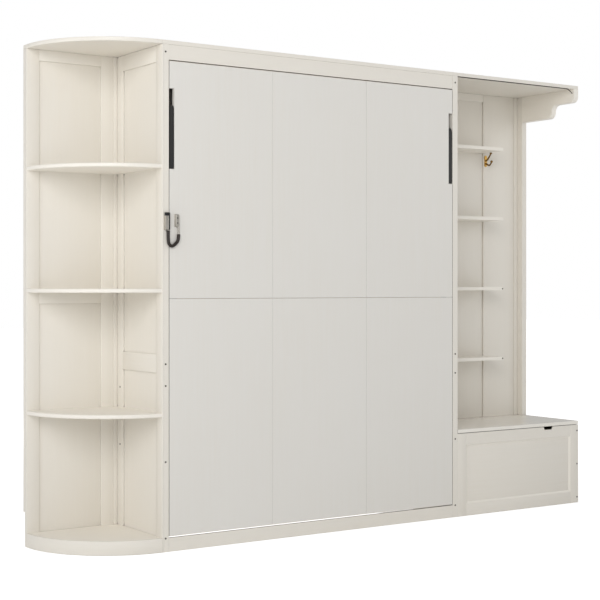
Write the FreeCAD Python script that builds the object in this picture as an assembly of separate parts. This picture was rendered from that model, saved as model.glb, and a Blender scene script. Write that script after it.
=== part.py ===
"""Queen-size folding wall bed with a quarter-round shelf unit and a hall bench unit.

Layout axes while building: x runs right from the outer face of the bed cabinet's left side,
y runs from the cabinet's front plane towards the wall, z runs up from the floor.
The saved parts are shifted so that the origin is at the bottom centre of the whole object.
"""
import FreeCAD, Part
import math
import os

Vec = FreeCAD.Vector

# Bed cabinet
CABINET_W = 1676.0
CABINET_H = 2235.0
CARCASS_D = 462.0
SIDE_T = 32.0
BOARD_T = 18.0
HEADER_H = 67.0
HEADER_SETBACK = 2.0
TOE_H = 61.0
TOE_T = 16.0
TRIM_T = 8.0
FRONT_STILE_W = 60.0
REAR_STILE_W = 54.0
SIDE_TOP_RAIL_H = 72.0
SIDE_BAND_Z = 780.0
SIDE_BAND_H = 81.0

# Stand-off from the wall above the skirting board
SCRIBE_T = 18.0
SKIRTING_H = 154.0
WALL_RAIL_H = 100.0
WALL_RAIL_DROP = 20.0
WALL_RAIL_LOW_Z = 170.0
WALL_HOLE_R = 4.5
WALL_HOLE_SPAN = 1400.0

# Folding bed
DOOR_GAP = 3.0
DOOR_TOP_GAP = 5.0
DOOR_FOOT_GAP = 5.0
FACE_T = 18.0
FACE_SEAM = 0.6
FACE_CROSS_SEAM = 1.2
FACE_EASE_R = 0.5
EASE_R = 1.0
RAIL_SETBACK = 25.0
RAIL_T = 20.0
RAIL_END_INSET = 6.0
FRAME_D = 72.0
SEAM_BATTEN_W = 90.0
SEAM_BATTEN_T = 18.0
CROSS_BATTEN_W = 80.0
CROSS_BATTEN_COUNT = 3
SLAT_W = 70.0
SLAT_T = 18.0
SLAT_COUNT = 14
CLEAT_T = 20.0

# Bed pivot
PIVOT_Y = 56.0
PIVOT_Z = 291.0
PIN_R = 12.0
PIN_FIT = 0.05
PIVOT_PLATE_T = 5.0
PIVOT_PLATE_W = 90.0
PIVOT_PLATE_H = 150.0
BED_PLATE_T = 4.0
BED_PLATE_MARGIN = 16.0
PIN_FLANGE_R = 20.0
PIN_FLANGE_T = 2.0

# Folding legs in the edges of the face
SLOT_W = 24.0
SLOT_TOP_ROOM = 92.0
SLOT_FOOT_ROOM = 4.0
LEG_T = 20.0
LEG_D = 44.0
LEG_FACE_INSET = 1.0
LEG_DROP = 211.0
LEG_FLOOR_GAP = 1.0
LEG_BOLT_R = 5.0

# Gas struts, one in each gap beside the bed frame
STRUT_TOP_Y = 90.0
STRUT_TOP_RISE = 480.0
STRUT_STUD_Y = 50.0
STRUT_STUD_DROP = 87.0
STRUT_TUBE_R = 9.0
STRUT_TUBE_BORE_R = 7.6
STRUT_TUBE_START = 16.0
STRUT_TUBE_L = 250.0
STRUT_CAP_L = 12.0
STRUT_ROD_R = 5.0
STRUT_ROD_L = 370.0
STRUT_PISTON_R = 7.5
STRUT_PISTON_L = 14.0
STRUT_EYE_R = 10.0
STRUT_EYE_T = 11.0
STRUT_PIN_R = 4.0
STRUT_STUD_R = 7.0
STRUT_STUD_GAP = 1.0
STRUT_PLATE_T = 3.0
STRUT_PLATE_W = 50.0
STRUT_PLATE_H = 90.0

# Stop blocks behind the closed bed frame
STOP_W = 38.0
STOP_D = 30.0
STOP_H = 60.0
STOP_DROP = 50.0

# Cable latch across the left stile and the face
LOCK_W = 24.0
LOCK_H = 78.0
LOCK_D = 18.0
LOCK_INSET = 7.0
LOCK_DROP = 190.0
LOCK_EDGE_R = 3.0
CABLE_R = 7.2
CABLE_OFF = 9.0
CABLE_PLUG_R = 8.0
CABLE_PLUG_H = 3.0
CABLE_PLUG_GAP = 0.5
KEEPER_W = 20.0
KEEPER_H = 56.0
KEEPER_SPAN = 22.0
FERRULE_R = 4.0
FERRULE_L = 32.0
CABLE_LEAD = 36.0
CABLE_END_LEAD = 26.0
CABLE_BENDS = ((3.0, -59.0), (20.0, -69.0), (38.0, -55.0))

# Quarter-round shelf unit on the left
LEFT_STILE_W = 61.0
LEFT_RAIL_H = 49.0
LEFT_TOP_BAY = 524.0
LEFT_SHELF_COUNT = 3
PLINTH_H = 62.0
PLINTH_T = 12.0
CORNER_STRIP_W = 19.0
CORNER_STRIP_PROUD = 6.0
SHELF_ROUND_R = 6.0
SHELF_SETBACK = 1.0
TONGUE_GAP = 0.5

# Black bead under the front edge of the hall unit's top board, turned down at its end
BEAD_R = 2.2
BEAD_INSET = 1.0
BEAD_TURN = 32.0
BEAD_TURN_DROP = 22.0
BEAD_END_GAP = 9.0

# Hall unit on the right
RIGHT_W = 844.0
SEAT_H = 438.0
SEAT_T = 18.0
RETURN_D = 60.0
RIGHT_SHELF_RUN = 561.0
RIGHT_SHELF_D = 164.0
RIGHT_SHELF_COUNT = 4
RIGHT_TOP_BAY = 305.0
RIGHT_LOW_BAY = 322.0
RIGHT_RAIL_H = 41.0
RIGHT_STRIP_W = 25.0
BACK_SEAM = 2.0
BRACKET_LIP_H = 70.0
BRACKET_DROP_H = 140.0
BRACKET_LIP_D = 133.0
BRACKET_NOSE_R = 30.0

# Storage bench
BENCH_STILE_W = 57.0
BENCH_TOP_RAIL_H = 60.0
BENCH_LOW_RAIL_H = 61.0
MOULDING_W = 9.0
MOULDING_LIP = 1.5
FINGER_W = 66.0
FINGER_LOW_W = 50.0
FINGER_D = 18.0
FINGER_FLARE = 12.0
FINGER_FROM_END = 187.5
LID_SIDE_GAP = 2.0
LID_FRONT_GAP = 2.5
HINGE_GAP = 8.0
HINGE_L = 78.0
HINGE_COUNT = 3
HINGE_KNUCKLE_R = 3.0
HINGE_PIN_R = 1.5
HINGE_LEAF_T = 1.5
HINGE_DROP = 3.2
HINGE_KNUCKLE_GAP = 0.3
HINGE_WEB_GAP = 0.25

# Coat hook on the hall unit's back
HOOK_PLATE_W = 18.0
HOOK_PLATE_H = 62.0
HOOK_PLATE_T = 4.0
HOOK_FROM_SEAM = 6.0
HOOK_BELOW_SHELF = 12.0
HOOK_WIRE_R = 4.8
HOOK_BALL_R = 7.0
HOOK_FOOT_ROOM = 12.0
HOOK_LOWER_WIRE = ((-1.0, 8.0), (16.0, -4.0), (36.0, -6.0), (46.0, 14.0))
HOOK_UPPER_WIRE = ((-1.0, 20.0), (22.0, 30.0), (40.0, 60.0))
HOOK_SCREW_DROPS = (9.0, 54.0)

# Cover caps over the joining screws
CAP_R = 4.2
CAP_T = 1.2
CAP_HEIGHTS = (60.0, 393.0, 725.0, 820.0)
SIDE_CAP_HEIGHTS = (434.0, 697.0)
BENCH_CAP_HEIGHTS = (30.0, 208.0, 386.0)
SCREW_R = 3.0
SCREW_T = 1.0

# Derived places
DEPTH = CARCASS_D + SCRIBE_T
CEILING_Z = CABINET_H - BOARD_T
BACK_Y = CARCASS_D - BOARD_T
FIELD_Y = BACK_Y + TRIM_T
LEFT_R = BACK_Y
RIGHT_X0 = CABINET_W
RIGHT_X1 = CABINET_W + RIGHT_W
FRONT_PROUD = LOCK_D
ORIGIN = Vec((RIGHT_X1 - LEFT_R) / 2.0, (DEPTH - FRONT_PROUD) / 2.0, 0.0)

DOOR_X0 = SIDE_T + DOOR_GAP
DOOR_X1 = CABINET_W - DOOR_X0
DOOR_Z0 = TOE_H + DOOR_FOOT_GAP
DOOR_Z1 = CEILING_Z - HEADER_H - DOOR_TOP_GAP
RAIL_X0 = DOOR_X0 + RAIL_SETBACK
RAIL_X1 = RAIL_X0 + RAIL_T
FRAME_Z0 = DOOR_Z0 + RAIL_END_INSET
FRAME_Z1 = DOOR_Z1 - RAIL_END_INSET
DECK_Y = FACE_T + FRAME_D

LEG_Z = DOOR_Z1 - LEG_DROP
LEG_Y = LEG_FACE_INSET + LEG_D / 2.0
LEG_X0 = DOOR_X0 + (SLOT_W - LEG_T) / 2.0
LEG_L = PIVOT_Z - PIVOT_Y + LEG_Y - LEG_FLOOR_GAP
SLOT_Z0 = LEG_Z - LEG_L - SLOT_FOOT_ROOM
SLOT_Z1 = LEG_Z + SLOT_TOP_ROOM

STRUT_X = (SIDE_T + RAIL_X0) / 2.0
STRUT_TOP = (PIVOT_Y + STRUT_TOP_Y, PIVOT_Z + STRUT_TOP_RISE)
STRUT_STUD = (PIVOT_Y + STRUT_STUD_Y, PIVOT_Z - STRUT_STUD_DROP)

LOCK_Z0 = SLOT_Z0 - LOCK_DROP - LOCK_H
CABLE_X0 = LOCK_INSET + LOCK_W - CABLE_R
KEEPER_X0 = DOOR_X0 + LOCK_W

LEFT_DECK_Z = PLINTH_H
LEFT_PITCH = (CEILING_Z - LEFT_TOP_BAY - LEFT_DECK_Z) / LEFT_SHELF_COUNT
RETURN_Y = CARCASS_D - RETURN_D
RETURN_X0 = RIGHT_X1 - SIDE_T
SEAT_Z0 = SEAT_H - SEAT_T
RIGHT_SHELF_X1 = RIGHT_X0 + RIGHT_SHELF_RUN
RIGHT_SHELF_TOP = CEILING_Z - RIGHT_TOP_BAY
RIGHT_LOW_TOP = SEAT_H + RIGHT_LOW_BAY + BOARD_T
RIGHT_PITCH = (RIGHT_SHELF_TOP - RIGHT_LOW_TOP) / (RIGHT_SHELF_COUNT - 1)
HINGE_Y = RETURN_Y - HINGE_GAP / 2.0
HINGE_Z = SEAT_H - HINGE_DROP
LID_Y1 = HINGE_Y - HINGE_GAP / 2.0


def box(x, y, z):
    """A block between three pairs of low and high coordinates."""
    return Part.makeBox(x[1] - x[0], y[1] - y[0], z[1] - z[0], Vec(x[0], y[0], z[0]))


def pin(start, end, radius):
    """A round bar from one point to another."""
    run = Vec(*end) - Vec(*start)
    return Part.makeCylinder(radius, run.Length, Vec(*start), run)


def prism(points, x):
    """A prism along x over an outline given as (y, z) points."""
    corners = [Vec(x[0], y, z) for y, z in points]
    face = Part.Face(Part.makePolygon(corners + corners[:1]))
    return face.extrude(Vec(x[1] - x[0], 0.0, 0.0))


def eased(block, radius=EASE_R):
    """A block with all of its edges rounded."""
    return block.makeFillet(radius, block.Edges)


def mirrored(shape):
    """The same piece on the other side of the bed cabinet's middle plane."""
    return shape.mirror(Vec(CABINET_W / 2.0, 0.0, 0.0), Vec(1.0, 0.0, 0.0))


def pair(shape):
    """A piece and its mirror image."""
    return [shape, mirrored(shape)]


def save(name, solids):
    """Write one sub-part in the object's own frame."""
    group = solids[0].copy() if len(solids) == 1 else Part.makeCompound([s.copy() for s in solids])
    group.translate(ORIGIN * -1.0)
    group.exportStep("parts/" + name + ".step")
    print(name, len(group.Solids), round(group.Volume), group.isValid())


def quarter_disc(radius, z, back=0.0):
    """A quarter-round board about the left unit's inner corner, with a strip behind it."""
    disc = Part.makeCylinder(radius, z[1] - z[0], Vec(0.0, BACK_Y, z[0]))
    corner = box((-radius - 1.0, 0.0), (BACK_Y - radius - 1.0, BACK_Y), z)
    board = disc.common(corner)
    if back > 0.0:
        board = board.fuse(box((-radius, 0.0), (BACK_Y, BACK_Y + back), z)).removeSplitter()
    return board


def tube(points, radii, radius):
    """A round tube along straight runs that are joined by tangent arcs."""
    edges = []
    start = points[0]
    for before, corner, after, bend in zip(points, points[1:], points[2:], radii):
        into = (corner - before).normalize()
        away = (after - corner).normalize()
        half = into.getAngle(away) / 2.0
        reach = bend * math.tan(half)
        first = corner - into * reach
        last = corner + away * reach
        centre = corner + (away - into).normalize() * (bend / math.cos(half))
        middle = centre + (corner - centre).normalize() * bend
        edges.append(Part.makeLine(start, first))
        edges.append(Part.Arc(first, middle, last).toShape())
        start = last
    edges.append(Part.makeLine(start, points[-1]))
    route = Part.Wire(edges)
    heading = points[1] - points[0]
    profile = Part.Wire(Part.makeCircle(radius, points[0], heading))
    return route.makePipeShell([profile], True, False)


def bend_radii(points):
    """The largest tidy bend at each inner point of a cord's route."""
    radii = []
    for before, corner, after in zip(points, points[1:], points[2:]):
        half = (corner - before).getAngle(after - corner) / 2.0
        shorter = min((corner - before).Length, (after - corner).Length)
        radii.append(0.45 * shorter / math.tan(half))
    return radii


# Bed cabinet ---------------------------------------------------------------------------------

def pivot_plate(grow=0.0):
    """The steel plate let into a side, which carries the bed's pin."""
    half = PIVOT_PLATE_W / 2.0 + grow
    low = PIVOT_Z - PIVOT_PLATE_H / 2.0 - grow
    high = PIVOT_Z + PIVOT_PLATE_H / 2.0 + grow
    return box((SIDE_T - PIVOT_PLATE_T, SIDE_T), (PIVOT_Y - half, PIVOT_Y + half), (low, high))


def side_boards():
    """The two upright sides; the left one is thinner where its outer face is framed."""
    left = box((TRIM_T, SIDE_T), (0.0, CARCASS_D), (0.0, CEILING_Z)).cut(pivot_plate())
    right = box((0.0, SIDE_T), (0.0, CARCASS_D), (0.0, CEILING_Z)).cut(pivot_plate())
    save("side_board_left", [left])
    save("side_board_right", [mirrored(right)])


def side_trim():
    """Stiles and rails that frame the outer face of the left side."""
    rear = (BACK_Y - CORNER_STRIP_PROUD - REAR_STILE_W, CARCASS_D)
    between = (FRONT_STILE_W, rear[0])
    band = (SIDE_BAND_Z, SIDE_BAND_Z + SIDE_BAND_H)
    skin = (0.0, TRIM_T)
    stiles = [box(skin, (0.0, FRONT_STILE_W), (0.0, CEILING_Z)), box(skin, rear, (0.0, CEILING_Z))]
    rails = [
        box(skin, between, (CEILING_Z - SIDE_TOP_RAIL_H, CEILING_Z)),
        box(skin, between, band),
        box(skin, between, (0.0, PLINTH_H)),
    ]
    save("side_trim", stiles + rails)


def cabinet_boards():
    """Header, toe board and top board of the bed cabinet."""
    inside = (SIDE_T, CABINET_W - SIDE_T)
    header_y = (HEADER_SETBACK, HEADER_SETBACK + FACE_T)
    save("header_board", [box(inside, header_y, (CEILING_Z - HEADER_H, CEILING_Z))])
    save("toe_board", [box(inside, (0.0, TOE_T), (0.0, TOE_H))])
    save("top_board_centre", [box((0.0, CABINET_W), (0.0, DEPTH), (CEILING_Z, CABINET_H))])


def scribe_strips():
    """Strips that hold the back off the wall and stop above the skirting board."""
    tall = (SKIRTING_H, CEILING_Z)
    deep = (CARCASS_D, DEPTH)
    save("scribe_strips", [
        box((-LEFT_R, -LEFT_R + BOARD_T), deep, tall),
        box((0.0, BOARD_T), deep, tall),
        box((CABINET_W - BOARD_T, CABINET_W), deep, tall),
        box((RIGHT_X1 - BOARD_T, RIGHT_X1), deep, tall),
    ])


def wall_rail(z0):
    """A rail between the cabinet's scribe strips, with two holes for wall screws."""
    rail = box((BOARD_T, CABINET_W - BOARD_T), (CARCASS_D, DEPTH), (z0, z0 + WALL_RAIL_H))
    mid_z = z0 + WALL_RAIL_H / 2.0
    for side in (-1.0, 1.0):
        x = CABINET_W / 2.0 + side * WALL_HOLE_SPAN / 2.0
        rail = rail.cut(pin((x, CARCASS_D - 1.0, mid_z), (x, DEPTH + 1.0, mid_z), WALL_HOLE_R))
    return rail


def wall_rails():
    """The high and low rails that are screwed to the wall."""
    high_z = CEILING_Z - WALL_RAIL_DROP - WALL_RAIL_H
    save("wall_rails", [wall_rail(high_z), wall_rail(WALL_RAIL_LOW_Z)])


def bed_stops():
    """Blocks on the cabinet's sides that the closed bed frame rests against."""
    z1 = FRAME_Z1 - STOP_DROP
    save("bed_stops", pair(box((SIDE_T, SIDE_T + STOP_W), (DECK_Y, DECK_Y + STOP_D), (z1 - STOP_H, z1))))


def pivot_hardware():
    """The fixed plates, each with a pin on which the bed turns."""
    reach = RAIL_X1 + PIN_FLANGE_T
    shaft = pin((SIDE_T, PIVOT_Y, PIVOT_Z), (reach, PIVOT_Y, PIVOT_Z), PIN_R)
    flange = pin((SIDE_T, PIVOT_Y, PIVOT_Z), (SIDE_T + PIN_FLANGE_T, PIVOT_Y, PIVOT_Z), PIN_FLANGE_R)
    save("pivot_mounts", pair(pivot_plate()) + pair(shaft.fuse(flange).removeSplitter()))


# Folding bed ---------------------------------------------------------------------------------

def face_panels():
    """The six painted panels that make the front when the bed is closed."""
    run = (DOOR_X1 - DOOR_X0 - 2.0 * FACE_SEAM) / 3.0
    middle = (DOOR_Z0 + DOOR_Z1) / 2.0
    rows = {
        "lower": (DOOR_Z0, middle - FACE_CROSS_SEAM / 2.0),
        "upper": (middle + FACE_CROSS_SEAM / 2.0, DOOR_Z1),
    }
    slot = box((DOOR_X0 - 1.0, DOOR_X0 + SLOT_W), (-1.0, FACE_T + 1.0), (SLOT_Z0, SLOT_Z1))
    for row, z in rows.items():
        for index, column in enumerate(("left", "middle", "right")):
            x0 = DOOR_X0 + index * (run + FACE_SEAM)
            panel = eased(box((x0, x0 + run), (0.0, FACE_T), z), FACE_EASE_R)
            panel = panel.cut(slot).cut(mirrored(slot))
            save("face_" + row + "_" + column, [panel])


def bed_frame():
    """Side, head and foot rails."""
    deep = (FACE_T, DECK_Y)
    bore = pin((RAIL_X0 - 1.0, PIVOT_Y, PIVOT_Z), (RAIL_X1 + 1.0, PIVOT_Y, PIVOT_Z), PIN_R + PIN_FIT)
    bolt = leg_bolt(PIN_FIT)
    side = box((RAIL_X0, RAIL_X1), deep, (FRAME_Z0, FRAME_Z1)).cut(bore).cut(bolt)
    save("bed_rail_left", [side])
    save("bed_rail_right", [mirrored(side)])
    across = (RAIL_X1, CABINET_W - RAIL_X1)
    ends = [(FRAME_Z0, FRAME_Z0 + RAIL_T), (FRAME_Z1 - RAIL_T, FRAME_Z1)]
    save("bed_end_rails", [box(across, deep, z) for z in ends])


def deck_cleat(front, tall):
    """A cleat inside a side rail under the slats, with relief for the pivot pin's end."""
    cleat = box((RAIL_X1, RAIL_X1 + CLEAT_T), (front, DECK_Y - SLAT_T), tall)
    relief = PIN_FLANGE_R + PIN_FLANGE_T
    room = box((RAIL_X1 - 1.0, RAIL_X1 + CLEAT_T + 1.0), (0.0, DECK_Y), (PIVOT_Z - relief, PIVOT_Z + relief))
    return cleat.cut(room)


def bed_deck():
    """Battens and cleats behind the face, and the slats that carry the mattress."""
    inner = (FRAME_Z0 + RAIL_T, FRAME_Z1 - RAIL_T)
    across = (RAIL_X1, CABINET_W - RAIL_X1)
    third = (DOOR_X1 - DOOR_X0) / 3.0
    thin = (FACE_T, FACE_T + SEAM_BATTEN_T)
    battens = []
    for index in (1, 2):
        x = DOOR_X0 + index * third
        battens.append(box((x - SEAM_BATTEN_W / 2.0, x + SEAM_BATTEN_W / 2.0), thin, inner))
    stout = (thin[1], DECK_Y - SLAT_T)
    inside = (across[0] + CLEAT_T, across[1] - CLEAT_T)
    crosses = []
    for index in range(CROSS_BATTEN_COUNT):
        z = DOOR_Z0 + (DOOR_Z1 - DOOR_Z0) * (index + 1) / (CROSS_BATTEN_COUNT + 1)
        crosses.append(box(inside, stout, (z - CROSS_BATTEN_W / 2.0, z + CROSS_BATTEN_W / 2.0)))
    save("deck_battens", battens + crosses + pair(deck_cleat(thin[1], inner)))
    free = (inner[1] - inner[0] - SLAT_COUNT * SLAT_W) / (SLAT_COUNT + 1)
    slats = []
    for index in range(SLAT_COUNT):
        z = inner[0] + free + index * (SLAT_W + free)
        slats.append(box(across, (DECK_Y - SLAT_T, DECK_Y), (z, z + SLAT_W)))
    save("slats", slats)


def bed_plates():
    """Steel plates on the bed frame, bored for the pivot pin, with a stud for the strut."""
    stud_y, stud_z = STRUT_STUD
    margin = BED_PLATE_MARGIN
    x = (RAIL_X0 - BED_PLATE_T, RAIL_X0)
    outline = [
        (PIVOT_Y - 2.0 * margin, PIVOT_Z + 4.0 * margin),
        (PIVOT_Y + 2.0 * margin, PIVOT_Z + 4.0 * margin),
        (stud_y + margin, stud_z + margin),
        (stud_y + margin, stud_z - margin),
        (stud_y - margin, stud_z - margin),
        (PIVOT_Y - 2.0 * margin, PIVOT_Z - 2.0 * margin),
    ]
    plate = prism(outline, x)
    plate = plate.cut(pin((x[0] - 1.0, PIVOT_Y, PIVOT_Z), (x[1] + 1.0, PIVOT_Y, PIVOT_Z), PIN_R + PIN_FIT))
    head_x = STRUT_X + STRUT_EYE_T / 2.0 + STRUT_STUD_GAP
    stud = pin((head_x, stud_y, stud_z), (x[1], stud_y, stud_z), STRUT_STUD_R)
    save("bed_pivot_plates", pair(plate.fuse(stud).removeSplitter()))


def leg_bolt(grow=0.0):
    """The bolt through a side rail on which a leg swings."""
    return pin((LEG_X0, LEG_Y, LEG_Z), (RAIL_X1, LEG_Y, LEG_Z), LEG_BOLT_R + grow)


def legs():
    """The two legs, round at the pivot end."""
    half = LEG_D / 2.0
    x = (LEG_X0, LEG_X0 + LEG_T)
    foot_z = LEG_Z - LEG_L
    bar = box(x, (LEG_Y - half, LEG_Y + half), (foot_z, LEG_Z))
    bar = bar.fuse(pin((x[0], LEG_Y, LEG_Z), (x[1], LEG_Y, LEG_Z), half)).removeSplitter()
    bar = bar.cut(pin((x[0] - 1.0, LEG_Y, LEG_Z), (x[1] + 1.0, LEG_Y, LEG_Z), LEG_BOLT_R + PIN_FIT))
    save("leg_left", [bar])
    save("leg_right", [mirrored(bar)])
    save("leg_bolts", pair(leg_bolt()))


def strut_point(along, offset=0.0):
    """A point at a distance down the strut's line from its upper eye."""
    top_y, top_z = STRUT_TOP
    stud_y, stud_z = STRUT_STUD
    length = math.hypot(stud_y - top_y, stud_z - top_z)
    share = along / length
    return (STRUT_X + offset, top_y + (stud_y - top_y) * share, top_z + (stud_z - top_z) * share)


def strut_eye(along):
    """The flat round eye at one end of a strut."""
    half = STRUT_EYE_T / 2.0
    return pin(strut_point(along, -half), strut_point(along, half), STRUT_EYE_R)


def gas_struts():
    """Tube, rod, upper bracket and pin of each strut."""
    length = math.hypot(STRUT_STUD[0] - STRUT_TOP[0], STRUT_STUD[1] - STRUT_TOP[1])
    tube_end = STRUT_TUBE_START + STRUT_TUBE_L
    half = STRUT_EYE_T / 2.0
    outer = pin(strut_point(STRUT_TUBE_START), strut_point(tube_end), STRUT_TUBE_R)
    neck = pin(strut_point(0.0), strut_point(STRUT_TUBE_START), STRUT_ROD_R)
    body = outer.fuse(neck).fuse(strut_eye(0.0)).removeSplitter()
    hollow = pin(strut_point(STRUT_TUBE_START + STRUT_CAP_L), strut_point(tube_end - STRUT_CAP_L), STRUT_TUBE_BORE_R)
    guide = pin(strut_point(tube_end - STRUT_CAP_L - 1.0), strut_point(tube_end + 1.0), STRUT_ROD_R + PIN_FIT)
    eye_bore = pin(strut_point(0.0, -half - 1.0), strut_point(0.0, half + 1.0), STRUT_PIN_R + PIN_FIT)
    body = body.cut(hollow).cut(guide).cut(eye_bore)
    piston_at = length - STRUT_ROD_L
    rod = pin(strut_point(piston_at), strut_point(length), STRUT_ROD_R)
    piston = pin(strut_point(piston_at), strut_point(piston_at + STRUT_PISTON_L), STRUT_PISTON_R)
    rod = rod.fuse(piston).fuse(strut_eye(length)).removeSplitter()
    for side, place in (("left", lambda s: s), ("right", mirrored)):
        save("strut_tube_" + side, [place(body)])
        save("strut_rod_" + side, [place(rod)])
    top_y, top_z = STRUT_TOP
    plate_y = (top_y - STRUT_PLATE_W / 2.0, top_y + STRUT_PLATE_W / 2.0)
    plate_z = (top_z - STRUT_PLATE_H / 2.0, top_z + STRUT_PLATE_H / 2.0)
    plate = box((SIDE_T, SIDE_T + STRUT_PLATE_T), plate_y, plate_z)
    pin_x = (SIDE_T + STRUT_PLATE_T, STRUT_X + half + STRUT_STUD_GAP)
    upper_pin = pin((pin_x[0], top_y, top_z), (pin_x[1], top_y, top_z), STRUT_PIN_R)
    save("strut_mounts", pair(plate) + pair(upper_pin))


# Cable latch ---------------------------------------------------------------------------------

def cable_latch():
    """Lock body on the stile, and a sheathed cable held by a keeper on the face."""
    body = box((LOCK_INSET, LOCK_INSET + LOCK_W), (-LOCK_D, 0.0), (LOCK_Z0, LOCK_Z0 + LOCK_H))
    front = [e for e in body.Edges if e.BoundBox.YMin < -LOCK_D + 0.1]
    save("lock_body", [body.makeFillet(LOCK_EDGE_R, front)])
    plug_z1 = LOCK_Z0 - CABLE_PLUG_GAP
    plug_z0 = plug_z1 - CABLE_PLUG_H
    keeper_z0 = LOCK_Z0 + CABLE_R * 2.0
    end_x = KEEPER_X0 + KEEPER_W - FERRULE_R
    end_z = keeper_z0 - FERRULE_L
    route = [
        Vec(CABLE_X0, -CABLE_OFF, plug_z0),
        Vec(CABLE_X0, -CABLE_OFF, plug_z0 - CABLE_LEAD),
    ]
    for across, down in CABLE_BENDS:
        route.append(Vec(CABLE_X0 + across, -CABLE_OFF, plug_z0 + down))
    route.append(Vec(end_x, -CABLE_OFF, end_z - CABLE_END_LEAD))
    route.append(Vec(end_x, -CABLE_OFF, end_z))
    radii = bend_radii(route)
    save("latch_cable", [tube(route, radii, CABLE_R)])
    plug = pin((CABLE_X0, -CABLE_OFF, plug_z0), (CABLE_X0, -CABLE_OFF, plug_z1), CABLE_PLUG_R)
    ferrule = pin((end_x, -CABLE_OFF, end_z), (end_x, -CABLE_OFF, keeper_z0), FERRULE_R)
    save("cable_fittings", [plug, ferrule])
    keeper_y = (-CABLE_OFF - FERRULE_R, 0.0)
    keeper = box((KEEPER_X0, KEEPER_X0 + KEEPER_W), keeper_y, (keeper_z0, keeper_z0 + KEEPER_H))
    save("cable_keeper", [eased(keeper)])
    screws = []
    for side in (-1.0, 1.0):
        x = KEEPER_X0 + KEEPER_W / 2.0
        z = keeper_z0 + KEEPER_H / 2.0 + side * KEEPER_SPAN / 2.0
        screws.append(pin((x, keeper_y[0], z), (x, keeper_y[0] - SCREW_T, z), SCREW_R))
    save("keeper_screws", screws)


# Quarter-round shelf unit --------------------------------------------------------------------

def left_back():
    """Framed back of the shelf unit, and the set-back fields of both framed units."""
    skin = (BACK_Y, CARCASS_D)
    stile_l = (-LEFT_R, -LEFT_R + LEFT_STILE_W)
    stile_r = (-CORNER_STRIP_W - LEFT_STILE_W, 0.0)
    between = (stile_l[1], stile_r[0])
    shelf_z0 = LEFT_DECK_Z + 2.0 * LEFT_PITCH - BOARD_T
    rails_z = [
        (0.0, LEFT_DECK_Z),
        (shelf_z0 - LEFT_RAIL_H, shelf_z0),
        (CEILING_Z - LEFT_RAIL_H, CEILING_Z),
    ]
    stiles = [box(x, skin, (0.0, CEILING_Z)) for x in (stile_l, stile_r)]
    save("left_back_frame", stiles + [box(between, skin, z) for z in rails_z])
    fields = []
    for low, high in zip(rails_z, rails_z[1:]):
        fields.append(box(between, (FIELD_Y, CARCASS_D), (low[1], high[0])))
    save("panel_fields", fields + [bench_field()])
    strip_y = (BACK_Y - CORNER_STRIP_PROUD, BACK_Y)
    strips = [
        box((-CORNER_STRIP_W, 0.0), strip_y, (LEFT_DECK_Z, CEILING_Z)),
        box((RETURN_X0 - RIGHT_STRIP_W, RETURN_X0), strip_y, (SEAT_H, CEILING_Z)),
    ]
    save("corner_strips", strips)


def left_shelf(z0):
    """A quarter-round shelf with a round nose, let into the framed back and side."""
    radius = LEFT_R - SHELF_SETBACK
    shelf = quarter_disc(radius, (z0, z0 + BOARD_T))
    curve = [e for e in shelf.Edges if e.Curve.TypeId == "Part::GeomCircle"]
    shelf = shelf.makeFillet(SHELF_ROUND_R, curve)
    strip = box((-CORNER_STRIP_W, 0.0), (BACK_Y - CORNER_STRIP_PROUD, BACK_Y), (z0, z0 + BOARD_T))
    field = (-LEFT_R + LEFT_STILE_W + TONGUE_GAP, -CORNER_STRIP_W - LEFT_STILE_W - TONGUE_GAP)
    back_tongue = box(field, (BACK_Y - 1.0, FIELD_Y), (z0, z0 + BOARD_T))
    rear = BACK_Y - CORNER_STRIP_PROUD - REAR_STILE_W
    side = (FRONT_STILE_W + TONGUE_GAP, rear - TONGUE_GAP)
    side_tongue = box((-1.0, TRIM_T), side, (z0, z0 + BOARD_T))
    return shelf.cut(strip).fuse(back_tongue).fuse(side_tongue).removeSplitter()


def left_unit():
    """Shelves, deck, plinth and top of the quarter-round unit."""
    tops = [LEFT_DECK_Z + (index + 1) * LEFT_PITCH for index in range(LEFT_SHELF_COUNT)]
    save("left_shelves", [left_shelf(top - BOARD_T) for top in tops])
    save("left_deck", [quarter_disc(LEFT_R - PLINTH_T, (LEFT_DECK_Z - BOARD_T, LEFT_DECK_Z))])
    outer = quarter_disc(LEFT_R, (0.0, PLINTH_H))
    inner = Part.makeCylinder(LEFT_R - PLINTH_T, PLINTH_H + 2.0, Vec(0.0, BACK_Y, -1.0))
    save("left_plinth", [outer.cut(inner)])
    save("top_board_left", [quarter_disc(LEFT_R, (CEILING_Z, CABINET_H), CARCASS_D - BACK_Y + SCRIBE_T)])


# Hall unit -----------------------------------------------------------------------------------

def right_back():
    """Back boards of the hall unit, with the rail under the top board."""
    split = RIGHT_SHELF_X1
    left = box((RIGHT_X0, split), (FIELD_Y, CARCASS_D), (SEAT_H, CEILING_Z))
    right = box((split + BACK_SEAM, RETURN_X0), (BACK_Y, CARCASS_D), (SEAT_H, CEILING_Z))
    save("hall_back_boards", [left, right])
    save("hall_back_rail", [box((RIGHT_X0, split), (BACK_Y, FIELD_Y), (CEILING_Z - RIGHT_RAIL_H, CEILING_Z))])
    save("hall_return", [box((RETURN_X0, RIGHT_X1), (RETURN_Y, CARCASS_D), (SEAT_H, CEILING_Z))])
    save("top_board_right", [box((RIGHT_X0, RIGHT_X1), (0.0, DEPTH), (CEILING_Z, CABINET_H))])


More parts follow.
